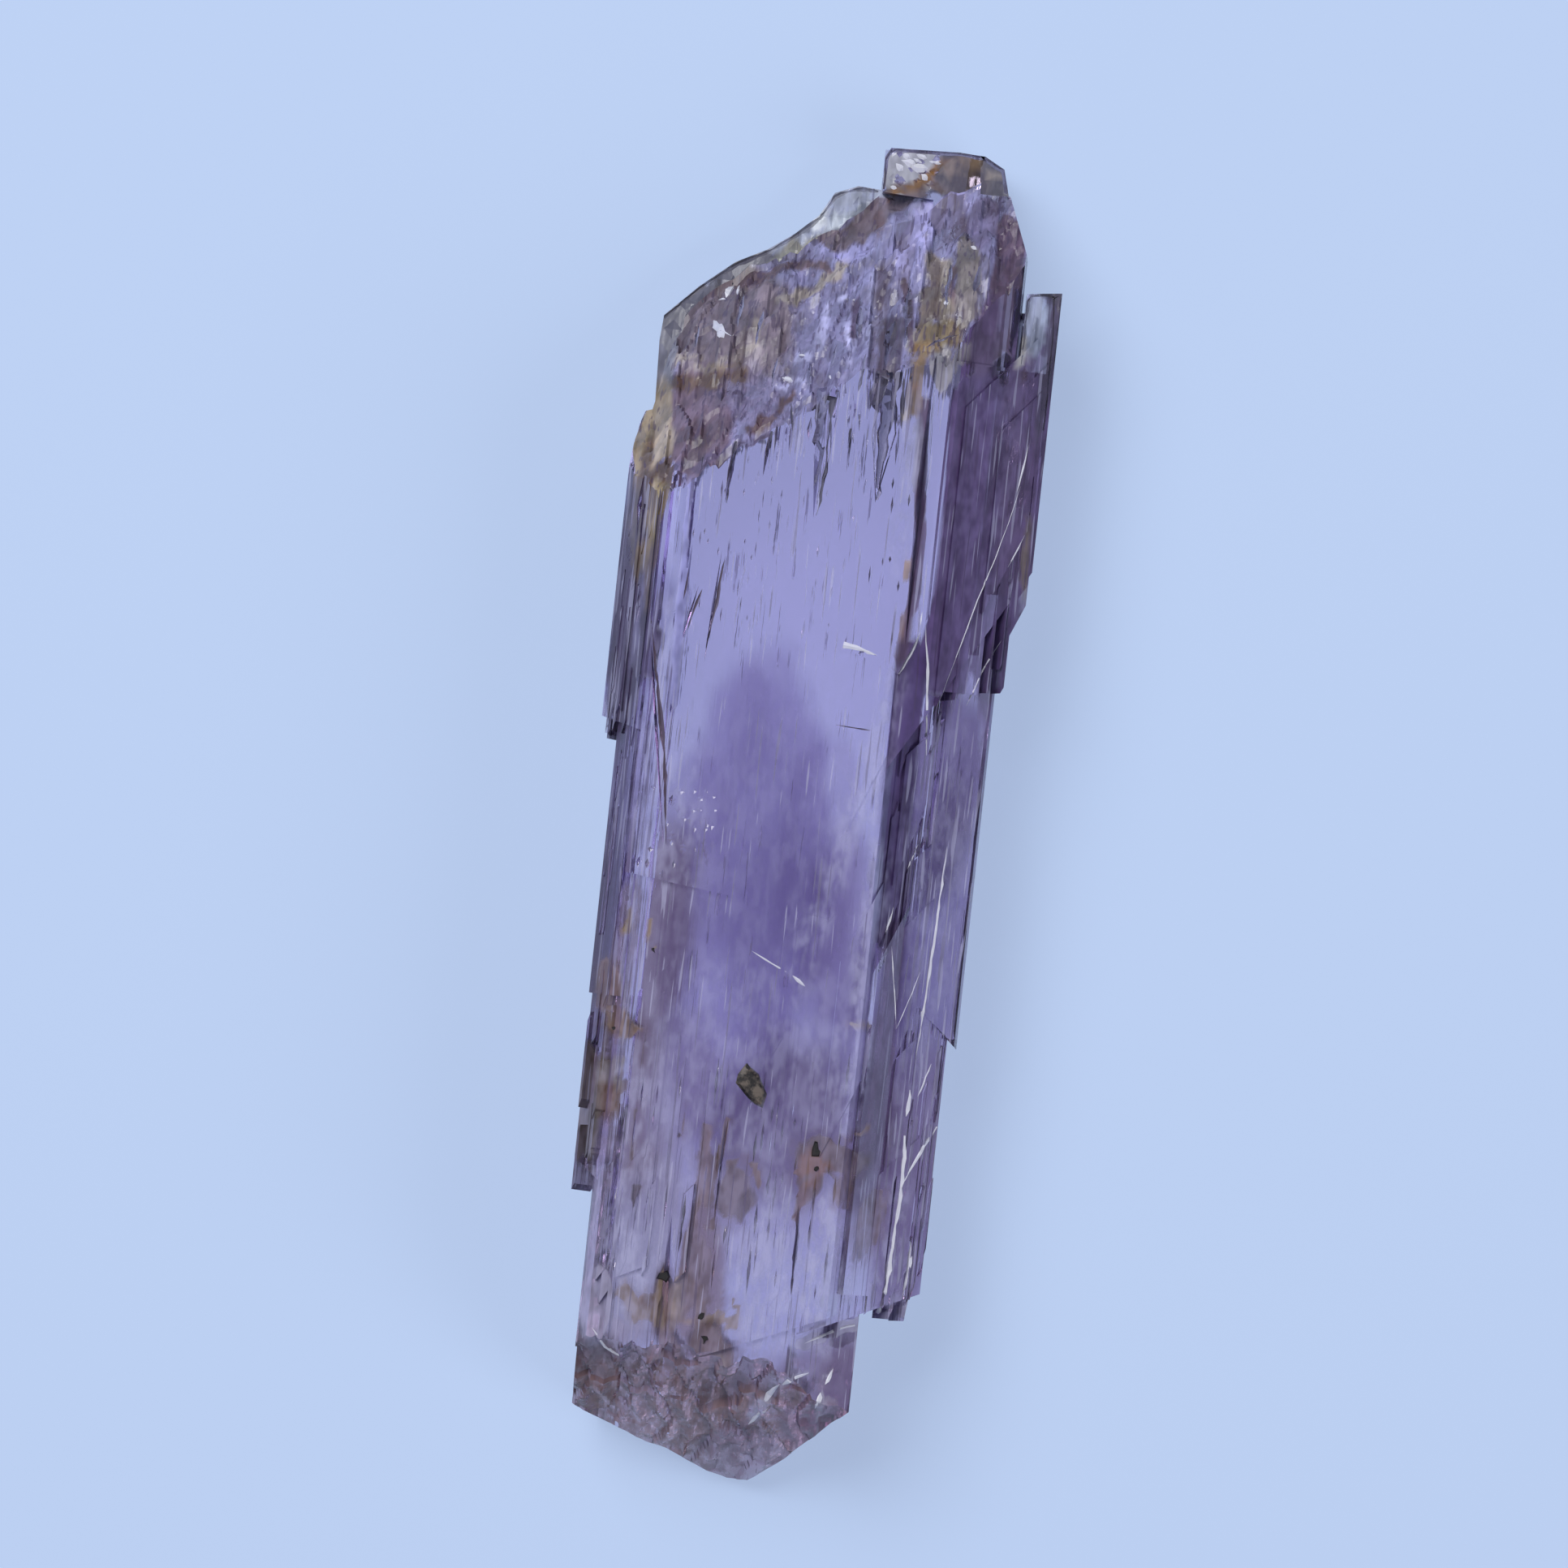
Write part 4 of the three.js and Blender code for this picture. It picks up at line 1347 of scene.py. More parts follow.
        ((-7.0, 17.4), (-5.8, 18.5), (-4.2, 19.7), (-2.6, 20.7)),
        1.1, tone(104, 102, 114), 0.95, PLATE, 0.6,
    ),
    Ribbon(((-6.95, 16.8), (-7.0, 14.6)), 0.8, tone(128, 128, 144), 0.8, ANY, 0.6),
    Patch((-1.9, 21.0), (1.0, 0.5), tone(146, 142, 130), 0.95, PLATE, turn=30),
    Patch((-2.9, 20.7), (0.6, 0.3), tone(150, 150, 142), 0.9, PLATE, turn=30),
    Patch((-1.1, 21.6), (0.5, 0.3), tone(116, 120, 134), 0.85, PLATE, turn=50),
    Patch((-0.4, 22.6), (0.5, 0.24), tone(126, 132, 146), 0.85, PLATE, turn=20),
    # painted highlights: near-white spots on the plate
    Patch((-1.5, 22.1), (0.35, 0.3), tone(214, 220, 230), 0.85, PLATE, turn=40),
    Patch((-1.0, 22.2), (0.4, 0.5), tone(196, 204, 218), 0.85, PLATE),
    # the finger: whitish, with painted shade at its dark tip and right edge
    Patch((6.72, 18.8), (0.42, 1.2), tone(164, 172, 198), 0.75, ANY, 0.4, 0, True),
    Patch((6.35, 17.7), (0.16, 0.7), tone(176, 172, 172), 0.85, ANY, 0.5, 0, True),
    Patch((7.1, 20.0), (0.5, 0.25), tone(84, 80, 104), 0.9, ANY, 0.5, -30, True),
    Patch((7.35, 17.4), (0.24, 2.9), tone(82, 73, 100), 0.88, ANY, 0.5, -2, True),
    Patch((6.5, 16.9), (0.2, 0.25), tone(70, 48, 66), 0.9, ANY, clean=True),
    # tan and umber in the steps of the left flank
    Patch((-6.85, 13.3), (0.55, 2.4), tone(152, 136, 116), 0.95, ANY, 0.5),
    Patch((-6.45, 12.9), (0.3, 0.7), tone(166, 152, 138), 0.9, ANY),
    Patch((-6.8, 11.3), (0.6, 0.6), UMBER, 0.8, ANY),
    Patch((-6.5, 9.6), (0.3, 1.7), tone(136, 118, 96), 0.75, ANY),
    Patch((-6.95, 10.0), (0.5, 1.8), tone(110, 100, 104), 0.66, LEFT),
    Patch((-6.6, 13.9), (0.35, 0.9), tone(150, 138, 126), 0.9, ANY),
    Patch((-6.4, 11.95), (0.3, 0.5), tone(88, 70, 64), 0.9, ANY),
    Patch((-6.95, 12.2), (0.3, 0.6), tone(96, 78, 70), 0.85, ANY),
    Patch((-6.4, 10.7), (0.2, 0.8), tone(164, 150, 136), 0.9, ANY),
    Patch((-6.15, 10.3), (0.22, 1.0), tone(124, 106, 66), 0.95, ANY, 0.7),
    Patch((-6.2, 8.8), (0.24, 0.7), tone(96, 80, 84), 0.9, ANY, 0.7),
    Patch((-6.7, 8.7), (0.25, 1.0), tone(126, 108, 88), 0.85, ANY),
    Patch((-6.3, 7.6), (0.18, 0.9), tone(98, 82, 84), 0.8, ANY),
    # beside the upper window
    Patch((2.95, 9.3), (0.16, 0.5), tone(146, 120, 96), soft=0.8, clean=True),
    Patch((3.02, 7.3), (0.14, 0.6), tone(120, 96, 88), soft=0.8, clean=True),
    Patch((7.35, 10.2), (0.16, 1.7), tone(112, 98, 84), 0.75, RIGHT),
    # ochre along the left edge, going down
    Ribbon(((-5.7, -4.1), (-5.6, -4.9)), 0.26, tone(134, 114, 74), 0.85, soft=1.0),
    Ribbon(((-5.3, -4.7), (-5.15, -5.2), (-4.7, -5.5)), 0.28, tone(128, 106, 68), 0.85, soft=1.0),
    Patch((-6.3, -7.2), (0.55, 1.3), tone(120, 98, 98), 0.85, ANY, 0.8),
    Patch((-5.6, -8.6), (0.95, 0.55), tone(126, 101, 84), 0.95, ANY, 0.9, 10),
    Patch((-6.3, -10.8), (0.35, 1.4), tone(98, 78, 66), 0.9, ANY, 0.7),
    Patch((-5.65, -11.1), (0.35, 1.0), tone(118, 90, 70), 0.95, ANY, 0.8),
    Patch((-5.9, -10.0), (0.7, 0.4), tone(150, 142, 150), 0.7),
    Patch((-6.5, -12.6), (0.3, 1.2), tone(94, 84, 84), 0.8, ANY),
    Ribbon(((-5.3, -10.2), (-5.2, -11.0)), 0.2, UMBER),
    Ribbon(((-4.7, -11.5), (-4.7, -13.1)), 0.16, UMBER),
    Ribbon(((-4.8, -8.4), (-4.7, -10.0)), 0.14, UMBER, 0.7),
    Ribbon(((-4.53, -14.1), (-4.52, -15.1)), 0.14, tone(84, 70, 84)),
    Ribbon(((-3.2, -11.1), (-3.17, -11.9)), 0.16, UMBER),
    # the long brown strip beside the lath step, and the rust around the specks
    Ribbon(((-2.2, -11.5), (-2.0, -14.6), (-2.2, -16.0), (-2.0, -19.0)), 0.45, tone(112, 92, 96), 0.75),
    Ribbon(((-1.4, -11.3), (-1.44, -13.9), (-1.5, -15.2)), 0.4, tone(90, 68, 62), 0.9),
    Ribbon(((-0.9, -13.1), (-0.3, -13.4), (0.05, -13.9)), 0.24, tone(112, 88, 76), 0.85),
    Patch((-0.8, -13.9), (0.7, 1.0), tone(98, 82, 86), 0.9, soft=0.9),
    Patch((-1.9, -17.0), (0.6, 1.9), tone(110, 94, 112), 0.75, soft=0.9),
    Patch((3.0, -17.0), (0.6, 1.5), tone(172, 174, 208), 0.62, soft=0.9),
    Patch((2.6, -12.6), (1.3, 0.7), tone(98, 82, 84), 0.95, FRONT, 0.9, -10),
    Patch((1.9, -13.4), (0.5, 0.9), tone(102, 84, 88), 0.85, FRONT, 0.9, 10),
    Ribbon(((1.5, -12.75), (2.3, -12.8), (1.75, -13.6), (1.6, -14.6)), 0.36, RUST, 1.0, soft=1.0),
    Patch((1.6, -14.3), (0.18, 0.5), tone(92, 58, 34), 1.0, soft=0.8),
    Ribbon(((3.7, -10.8), (3.4, -11.4), (2.85, -11.7)), 0.26, tone(122, 98, 84)),
    Patch((3.2, -13.5), (0.4, 0.8), tone(118, 100, 104), 0.7, soft=0.7),
    Patch((4.1, -14.8), (0.5, 1.3), tone(116, 98, 108), 0.7, FRONT, 0.7, -15),
    Patch((-5.75, -17.0), (0.4, 3.0), tone(150, 146, 174), 0.6, ANY, 0.8),
    Ribbon(((2.5, -7.6), (3.2, -7.35)), 0.16, tone(168, 156, 160), soft=0.7),
    # amber and brown near the broken end
    Ribbon(
        ((-4.6, -18.0), (-3.7, -18.8), (-3.0, -18.7), (-3.0, -18.0)),
        0.8, tone(126, 104, 80), 1.0, FRONT, 0.9,
    ),
    Patch((-3.5, -18.65), (0.5, 0.28), tone(106, 76, 46), 1.0, soft=0.8),
    Patch((-2.5, -18.3), (0.4, 1.3), tone(142, 124, 114), 0.85, soft=0.7),
    Ribbon(((-3.1, -17.3), (-2.9, -18.8), (-2.0, -19.3)), 0.2, tone(122, 100, 84)),
    Ribbon(((-2.6, -19.5), (-2.3, -21.2), (-2.0, -21.8)), 0.6, tone(106, 86, 92), 0.82, ANY, 0.6),
    Ribbon(((-2.1, -17.3), (-1.6, -18.2), (-1.6, -19.6)), 0.5, tone(108, 88, 92)),
    Ribbon(((-0.18, -18.1), (-0.2, -18.9), (-1.7, -19.1)), 0.34, tone(134, 114, 94)),
    Patch((-1.0, -20.3), (1.1, 1.3), tone(106, 85, 82), 0.9, ANY, 0.9),
    Patch((-1.2, -22.3), (1.6, 1.2), tone(112, 90, 100), 0.62, ANY),
    Ribbon(((-0.8, -20.1), (-0.4, -21.5)), 0.34, tone(146, 132, 120), 0.8, ANY),
    Patch((0.1, -21.6), (1.3, 1.2), tone(114, 94, 104), 0.75, ANY),
    Patch((-5.4, -20.8), (1.3, 1.2), tone(108, 82, 92), 0.75, ANY, 0.5, -20),
    Ribbon(((-5.9, -19.3), (-5.2, -20.5), (-4.1, -21.1)), 0.3, tone(160, 150, 172), 0.7, ANY),
    # the broken end, and its silvery edge as a painted highlight
    Patch((-0.5, -22.2), (6.5, 2.9), tone(132, 104, 104), 0.64, BROKEN, 0.5),
    Patch((-2.0, -20.0), (5.0, 0.8), tone(124, 108, 130), 0.42, ANY, 1.0, -4),
    Patch((-5.45, -18.7), (0.6, 1.5), tone(156, 150, 178), 1.0, ANY, 0.5, 0, True),
    Patch((-3.05, -18.2), (0.3, 1.1), tone(132, 112, 96), 0.95, ANY, 0.5, 0, True),
    Patch((3.3, -21.9), (0.8, 0.5), tone(128, 110, 140), 0.9, ANY, turn=35),
    Patch((0.7, -24.0), (1.6, 1.2), tone(134, 112, 138), 0.5, BROKEN, 0.5),
    Patch((3.0, -22.4), (1.4, 1.2), tone(126, 106, 132), 0.5, BROKEN, turn=30),
    Ribbon(((2.5, -20.5), (1.6, -21.0), (1.1, -21.9), (0.6, -22.6)), 0.6, SILVER_HIGHLIGHT, 0.62, ANY, 0.9),
    Ribbon(((3.46, -20.2), (3.1, -21.0), (2.95, -21.7)), 0.34, SILVER_HIGHLIGHT, 0.6, ANY, 0.9),
    Ribbon(
        ((2.2, -19.4), (3.6, -18.65), (5.2, -18.2), (6.05, -17.7)),
        0.55, tone(164, 160, 192), 0.95, ANY, 0.8, True,
    ),
)

# Where the growth lines show, and how strongly. Their light lines are painted highlights.
LINED: tuple[Area, ...] = (
    Patch((0.0, 0.0), (20.0, 60.0), strength=0.12),  # all over
    Patch((-6.9, 5.0), (1.0, 9.5), strength=1.0, layer=LEFT),
    Patch((-5.8, -2.0), (1.2, 9.0), strength=0.7),
    Patch((5.4, -7.0), (2.2, 12.5), strength=0.65),
    Patch((6.6, 10.5), (1.1, 7.5), strength=0.55, layer=RIGHT, clean=True),
    Patch((4.9, 11.0), (0.9, 8.0), strength=0.3, layer=RIGHT, clean=True),
    Patch((-3.9, -12.5), (2.8, 7.6), strength=0.4),
    Patch((-0.2, -14.5), (2.0, 5.6), strength=0.25),
    Patch((0.0, 15.4), (5.0, 2.6), strength=0.7, turn=25),
    Patch((0.0, 18.0), (9.0, 9.0), layer=ETCHED),
    Patch((0.0, -8.0), (9.0, 20.0), strength=0.6, layer=LEFT),
)

# Where the crystal is cloudy.
HAZY: tuple[Area, ...] = (
    Patch((-0.8, -13.5), (7.0, 8.5), strength=0.36, soft=0.7),
    Patch((-1.6, -4.0), (4.6, 8.5), strength=0.16, soft=0.9),
    Patch((-4.6, -18.0), (1.6, 3.4), strength=0.85, soft=0.9),
    Patch((-4.6, -12.6), (1.4, 3.4), strength=0.6, soft=0.9),
    Patch((0.5, -16.8), (1.3, 3.4), strength=0.75, soft=0.9),
    Patch((2.7, -16.6), (1.0, 3.0), strength=1.0, soft=0.9),
    Patch((2.4, -9.4), (1.2, 2.0), strength=0.5, soft=0.9),
    Patch((5.0, -4.0), (1.4, 9.0), strength=0.35, soft=0.8),
    Patch((5.0, -15.6), (1.0, 3.0), strength=0.6, soft=0.8),
    Patch((-5.6, 2.0), (0.7, 6.0), strength=0.5, soft=0.9),
    Patch((-4.6, -1.2), (1.5, 2.6), strength=0.5, soft=0.9),
    Ribbon(((2.9, 4.9), (2.5, 2.0), (2.0, -0.5), (1.2, -3.5), (0.6, -6.2)), 1.2, strength=0.6, soft=1.2),
    Ribbon(
        ((3.25, -1.2), (3.2, -3.6), (2.95, -6.0), (3.1, -8.0), (3.2, -10.0)), 1.0, strength=0.95, soft=0.9
    ),
    Patch((2.75, 12.6), (0.4, 3.2), strength=0.55, soft=0.9),
    Patch((5.4, 13.0), (1.4, 6.5), strength=0.2, soft=0.9),
)


class Painter:
    """Works out veils, stains and growth lines, with painted shade and highlights, for the mesh's corners."""

    @staticmethod
    def dice(mesh: bpy.types.Mesh, columns: float = 0.25, rows: float = 0.5) -> None:
        """Cuts the mesh by a grid of planes, so that its corners lie close enough to hold colours.

        Args:
            mesh: The crystal's mesh.
            columns: The distance between the planes across it, in millimetres.
            rows: The same along it.
        """
        off_edges = 0.013  # keeps the planes off the solid's own edges
        finer = rows / 2
        draft = bmesh.new()
        draft.from_mesh(mesh)
        stretches = ((-24.5, -20.0, rows), (-20.0, -3.5, finer), (-3.5, 12.0, rows), (12.0, 24.9, finer))
        along = [place for stretch in stretches for place in np.arange(*stretch)]
        for axis, places in enumerate((np.arange(-7.5, 7.6, columns), along)):
            Painter._slice(draft, axis, [(place + off_edges) * MM for place in places])
        draft.to_mesh(mesh)
        draft.free()

    @staticmethod
    def _slice(draft: bmesh.types.BMesh, axis: int, places: Sequence[float]) -> None:
        """Cuts the faces of a mesh by planes across an axis.

        Args:
            draft: The mesh.
            axis: 0 for X and 1 for Y.
            places: Where the planes are, in metres and in rising order.
        """
        slack = 1e-7
        normal = Vector([float(axis == number) for number in range(3)])
        waiting: list[list[bmesh.types.BMFace]] = [[] for _ in places]

        def queue(faces: Iterable[bmesh.types.BMFace]) -> None:
            """Sorts faces by the first plane that they cross.

            Args:
                faces: The faces, some of which cross none.
            """
            for face in faces:
                reach = [vertex.co[axis] for vertex in face.verts]
                first = bisect_right(places, min(reach) + slack)
                if first < len(places) and places[first] < max(reach) - slack:
                    waiting[first].append(face)

        queue(draft.faces)
        for place, faces in zip(places, waiting):
            edges = {edge for face in faces for edge in face.edges}
            corners = {corner for face in faces for corner in face.verts}
            plane = {"plane_co": normal * place, "plane_no": normal, "dist": 1e-8}
            cut = bmesh.ops.bisect_plane(draft, geom=[*corners, *edges, *faces], **plane)
            queue(item for item in cut["geom"] if isinstance(item, bmesh.types.BMFace))

    @staticmethod
    def paint(mesh: bpy.types.Mesh) -> None:
        """Writes the tint, the colour of the stains and painted shade, its cover and the growth lines to the
        mesh.

        Args:
            mesh: The crystal's mesh.
        """
        ground = Ground.read(mesh)
        count = len(ground.x)
        tint = np.ones((count, 4))
        for veil in VEILS:
            mask = veil.mask(ground)[:, None]
            tint[:, :3] *= 1 - mask * (1 - np.array(veil.colour))
        stain = np.ones((count, 4))
        stain[:, :3] = HAZE
        cover = np.zeros(count)
        for area in STAINS_AND_PAINTED_LIGHT:
            mask = area.mask(ground)
            share = np.clip(mask / np.maximum(cover, mask).clip(1e-6), 0.0, 1.0) * fade(mask, 0.0, 0.35)
            stain[:, :3] += share[:, None] * (np.array(area.colour) - stain[:, :3])
            cover = np.maximum(cover, mask)
        lines, haze = np.zeros(count), np.zeros(count)
        for area in LINED:
            lines = np.maximum(lines, area.mask(ground))
        for area in HAZY:
            haze = np.maximum(haze, area.mask(ground))
        flaked = 0.8 * ground.layers[PLATE] + 0.5 * ground.layers[NUB]
        facets = np.maximum(ground.etched * (1 - 0.6 * ground.layers[BROKEN]), flaked)
        for mark, values in {Mark.TINT: tint, Mark.STAIN_AND_PAINTED_LIGHT: stain}.items():
            write(mesh, mark, "CORNER", values.ravel(), "FLOAT_COLOR")
        plain = {Mark.COVER: cover, Mark.LINES: lines, Mark.FACETS: facets, Mark.HAZE: haze}
        for mark, values in plain.items():
            write(mesh, mark, "CORNER", values)


# ---------------------------------------------------------------- the finishes


def blank(name: str) -> tuple[bpy.types.Material, Graph]:
    """Makes a material with no nodes yet.

    Args:
        name: Its name.

    Returns:
        The material, and the graph that its nodes go into.
    """
    material = bpy.data.materials.new(name)
    material.use_nodes = True
    material.node_tree.nodes.clear()
    return material, Graph(material.node_tree)


@dataclass(frozen=True)
class KunziteFinish:
    """Clear violet glass: darker zones, stains, growth lines, frost, dirt, painted shade and highlights."""

    ior: float = 1.66
    clear: Colour = (0.97, 0.9, 1.0)
    clear_roughness: float = 0.03
    facet_shade: Colour = (0.08, 0.06, 0.12)  # painted shade: what the darker facets tend to
    absorbed: Colour = (0.68, 0.28, 0.97)
    density: float = 34.0
    stain_roughness: float = 0.4
    # dirt and painted shade: the brown-plum of hollows, cracks and pits
    dirt: Colour = tone(82, 66, 72)
    # painted shade on the walls of grooves
    lance: Colour = tone(70, 66, 76)
    # frost and painted highlight: the white of ledges and glints
    frost: Colour = tone(228, 228, 240)
    dark_line: Colour = tone(66, 52, 84)
    # painted highlight along the growth lines
    highlight_line: Colour = tone(182, 180, 212)
    haze: Colour = tone(164, 162, 196)

    def build(self) -> bpy.types.Material:
        """Makes the material.

        Returns:
            The crystal's material.
        """
        material, graph = blank("kunzite")
        place = graph.term("ShaderNodeTexCoord", None, None, "Object").scaled(1 / MM)
        marks = {mark: self._read(graph, mark) for mark in Mark if mark is not Mark.ETCHED}
        lined, facets = marks[Mark.LINES], marks[Mark.FACETS]

        blots = self._noise(graph, place, (1.9, 0.9, 1.4), 2.0)
        grain = self._noise(graph, place, (4.2, 1.8, 2.6), 1.0)
        growth = self._noise(graph, place, (7.0, 0.24, 3.0), 1.0)
        sparse = self._noise(graph, place, (9.0, 0.4, 5.0), 0.0)
        flakes = {"Vector": place * (1.6, 0.8, 1.2), "Scale": 1.0}
        cells = graph.term("ShaderNodeTexVoronoi", {"distance": "MANHATTAN"}, flakes, "Color")
        cell = graph.term("ShaderNodeSeparateColor", None, {0: cells}, "Red")
        dark = (growth + lined * 0.14).ramp(0.68, 0.74)
        # painted highlights: light lines along the growth lines
        light = (sparse + lined * 0.19 - facets * 0.4).ramp(0.76, 0.82)
        blot = (marks[Mark.COVER] * 1.85 - blots * 0.6 - growth * 0.35 - grain * 0.6).ramp(-0.05, 0.65)
        cloud = (growth * 0.22 + blots * 0.7 + grain * 0.35).ramp(0.46, 0.78)

        layers = (
            (blot, self._mottled(marks[Mark.STAIN_AND_PAINTED_LIGHT], blots, facets * (cell * 0.44 - 0.22)), 0.74),
            (marks[Mark.HAZE] * cloud, self.haze, 0.66),
            (dark, self.dark_line, 0.6),
            (light, self.highlight_line, 0.5),
            (marks[Mark.DIRT_AND_SHADE], self.dirt, 0.55),
            (marks[Mark.LANCE_SHADE], self.lance, 0.9),
            (marks[Mark.FROST_AND_HIGHLIGHT], self.frost, 0.85),
        )
        _, colour, most = layers[0]
        cover = blot * (facets * 0.2 + most)
        for mask, shade, most in layers[1:]:
            colour = colour.toward(shade, mask * most)
            cover = cover.larger(mask * most)

        bump = self._bump(graph, grain, growth, facets, lined)
        tilt = graph.term("ShaderNodeVectorMath", {"operation": "SUBTRACT"}, {0: cells, 1: (0.5, 0.5, 0.5)})
        normal = (bump + tilt.scaled(facets * 0.34)).unit()
        # painted shade: the clear glass is darkened facet by facet
        clear = (marks[Mark.TINT] * self.clear).toward(self.facet_shade, facets * (1 - cell) * 0.4)
        glass_inputs = {
            "Base Color": clear,
            "Roughness": facets * 0.1 + self.clear_roughness,
            "IOR": self.ior,
            "Transmission Weight": 1.0,
            "Normal": normal,
        }
        glass = graph.term("ShaderNodeBsdfPrincipled", None, glass_inputs)
        stain_inputs = {
            "Base Color": colour,
            "Roughness": self.stain_roughness,
            "Specular IOR Level": 0.5,
            "Normal": normal,
        }
        stain = graph.term("ShaderNodeBsdfPrincipled", None, stain_inputs)
        surface = graph.term("ShaderNodeMixShader", None, {0: cover, 1: glass, 2: stain})
        depth_inputs = {"Color": self.absorbed, "Density": self.density}
        depth = graph.term("ShaderNodeVolumeAbsorption", None, depth_inputs)
        graph.node("ShaderNodeOutputMaterial", None, {"Surface": surface, "Volume": depth})
        return material

    @staticmethod
    def _read(graph: Graph, mark: Mark) -> Term:
        """One of the mesh's attributes."""
        output = "Color" if mark in (Mark.TINT, Mark.STAIN_AND_PAINTED_LIGHT) else "Fac"
        return graph.term("ShaderNodeAttribute", {"attribute_name": mark.value}, None, output)

    @staticmethod
    def _noise(graph: Graph, place: Term, pace: Spot, detail: float) -> Term:
        """Noise with its own pace along each axis."""
        inputs = {"Vector": place * pace, "Scale": 1.0, "Detail": detail, "Roughness": 0.6}
        return graph.term("ShaderNodeTexNoise", None, inputs, "Fac")

    @staticmethod
    def _mottled(colour: Term, blots: Term, uneven: Term) -> Term:
        """The stain's colour, lighter and darker at random from spot to spot, and from facet to facet as
        painted light and shade.
        """
        return colour.scaled((blots.ramp(0.3, 0.7, 0.6) + 0.7) * (uneven + 1))

    @staticmethod
    def _bump(graph: Graph, grain: Term, growth: Term, facets: Term, lined: Term) -> Term:
        """Roughens the surface with growth lines, and the etched ends with grain.

        Args:
            graph: The material's graph.
            grain: Fine noise.
            growth: Noise that is drawn out along the crystal.
            facets: How strongly the surface is broken into facets.
            lined: How clearly the growth lines show.

        Returns:
            The bumped normal.
        """
        height = growth * (lined * 0.6 + 0.12) + grain * (facets * 1.2 + 0.1)
        inputs = {"Strength": 0.4, "Distance": 0.06 * MM, "Height": height}
        return graph.term("ShaderNodeBump", None, inputs, "Normal")


@dataclass(frozen=True)
class GrainFinish:
    """A dull mineral grain, mottled between two colours."""

    name: str
    dark: Colour
    light: Colour
    roughness: float = 0.55

    def build(self) -> bpy.types.Material:
        """Makes the material.

        Returns:
            The grain's material.
        """
        material, graph = blank(self.name)
        place = graph.term("ShaderNodeTexCoord", None, None, "Object")
        mottle = {"Vector": place, "Scale": 2.6 / MM, "Detail": 4.0, "Roughness": 0.7}
        spots = graph.term("ShaderNodeTexNoise", None, mottle, "Fac")
        base = graph.term("ShaderNodeRGB")
        base.socket.default_value = (*self.dark, 1.0)
        colour = base.toward(self.light, spots.ramp(0.42, 0.6))
        rough = {"Strength": 0.6, "Distance": 0.03 * MM, "Height": spots}
        bump = graph.term("ShaderNodeBump", None, rough, "Normal")
        inputs = {"Base Color": colour, "Roughness": self.roughness, "Normal": bump}
        shader = graph.term("ShaderNodeBsdfPrincipled", None, inputs)
        graph.node("ShaderNodeOutputMaterial", None, {"Surface": shader})
        return material


# ---------------------------------------------------------------- the crystal and what is in it


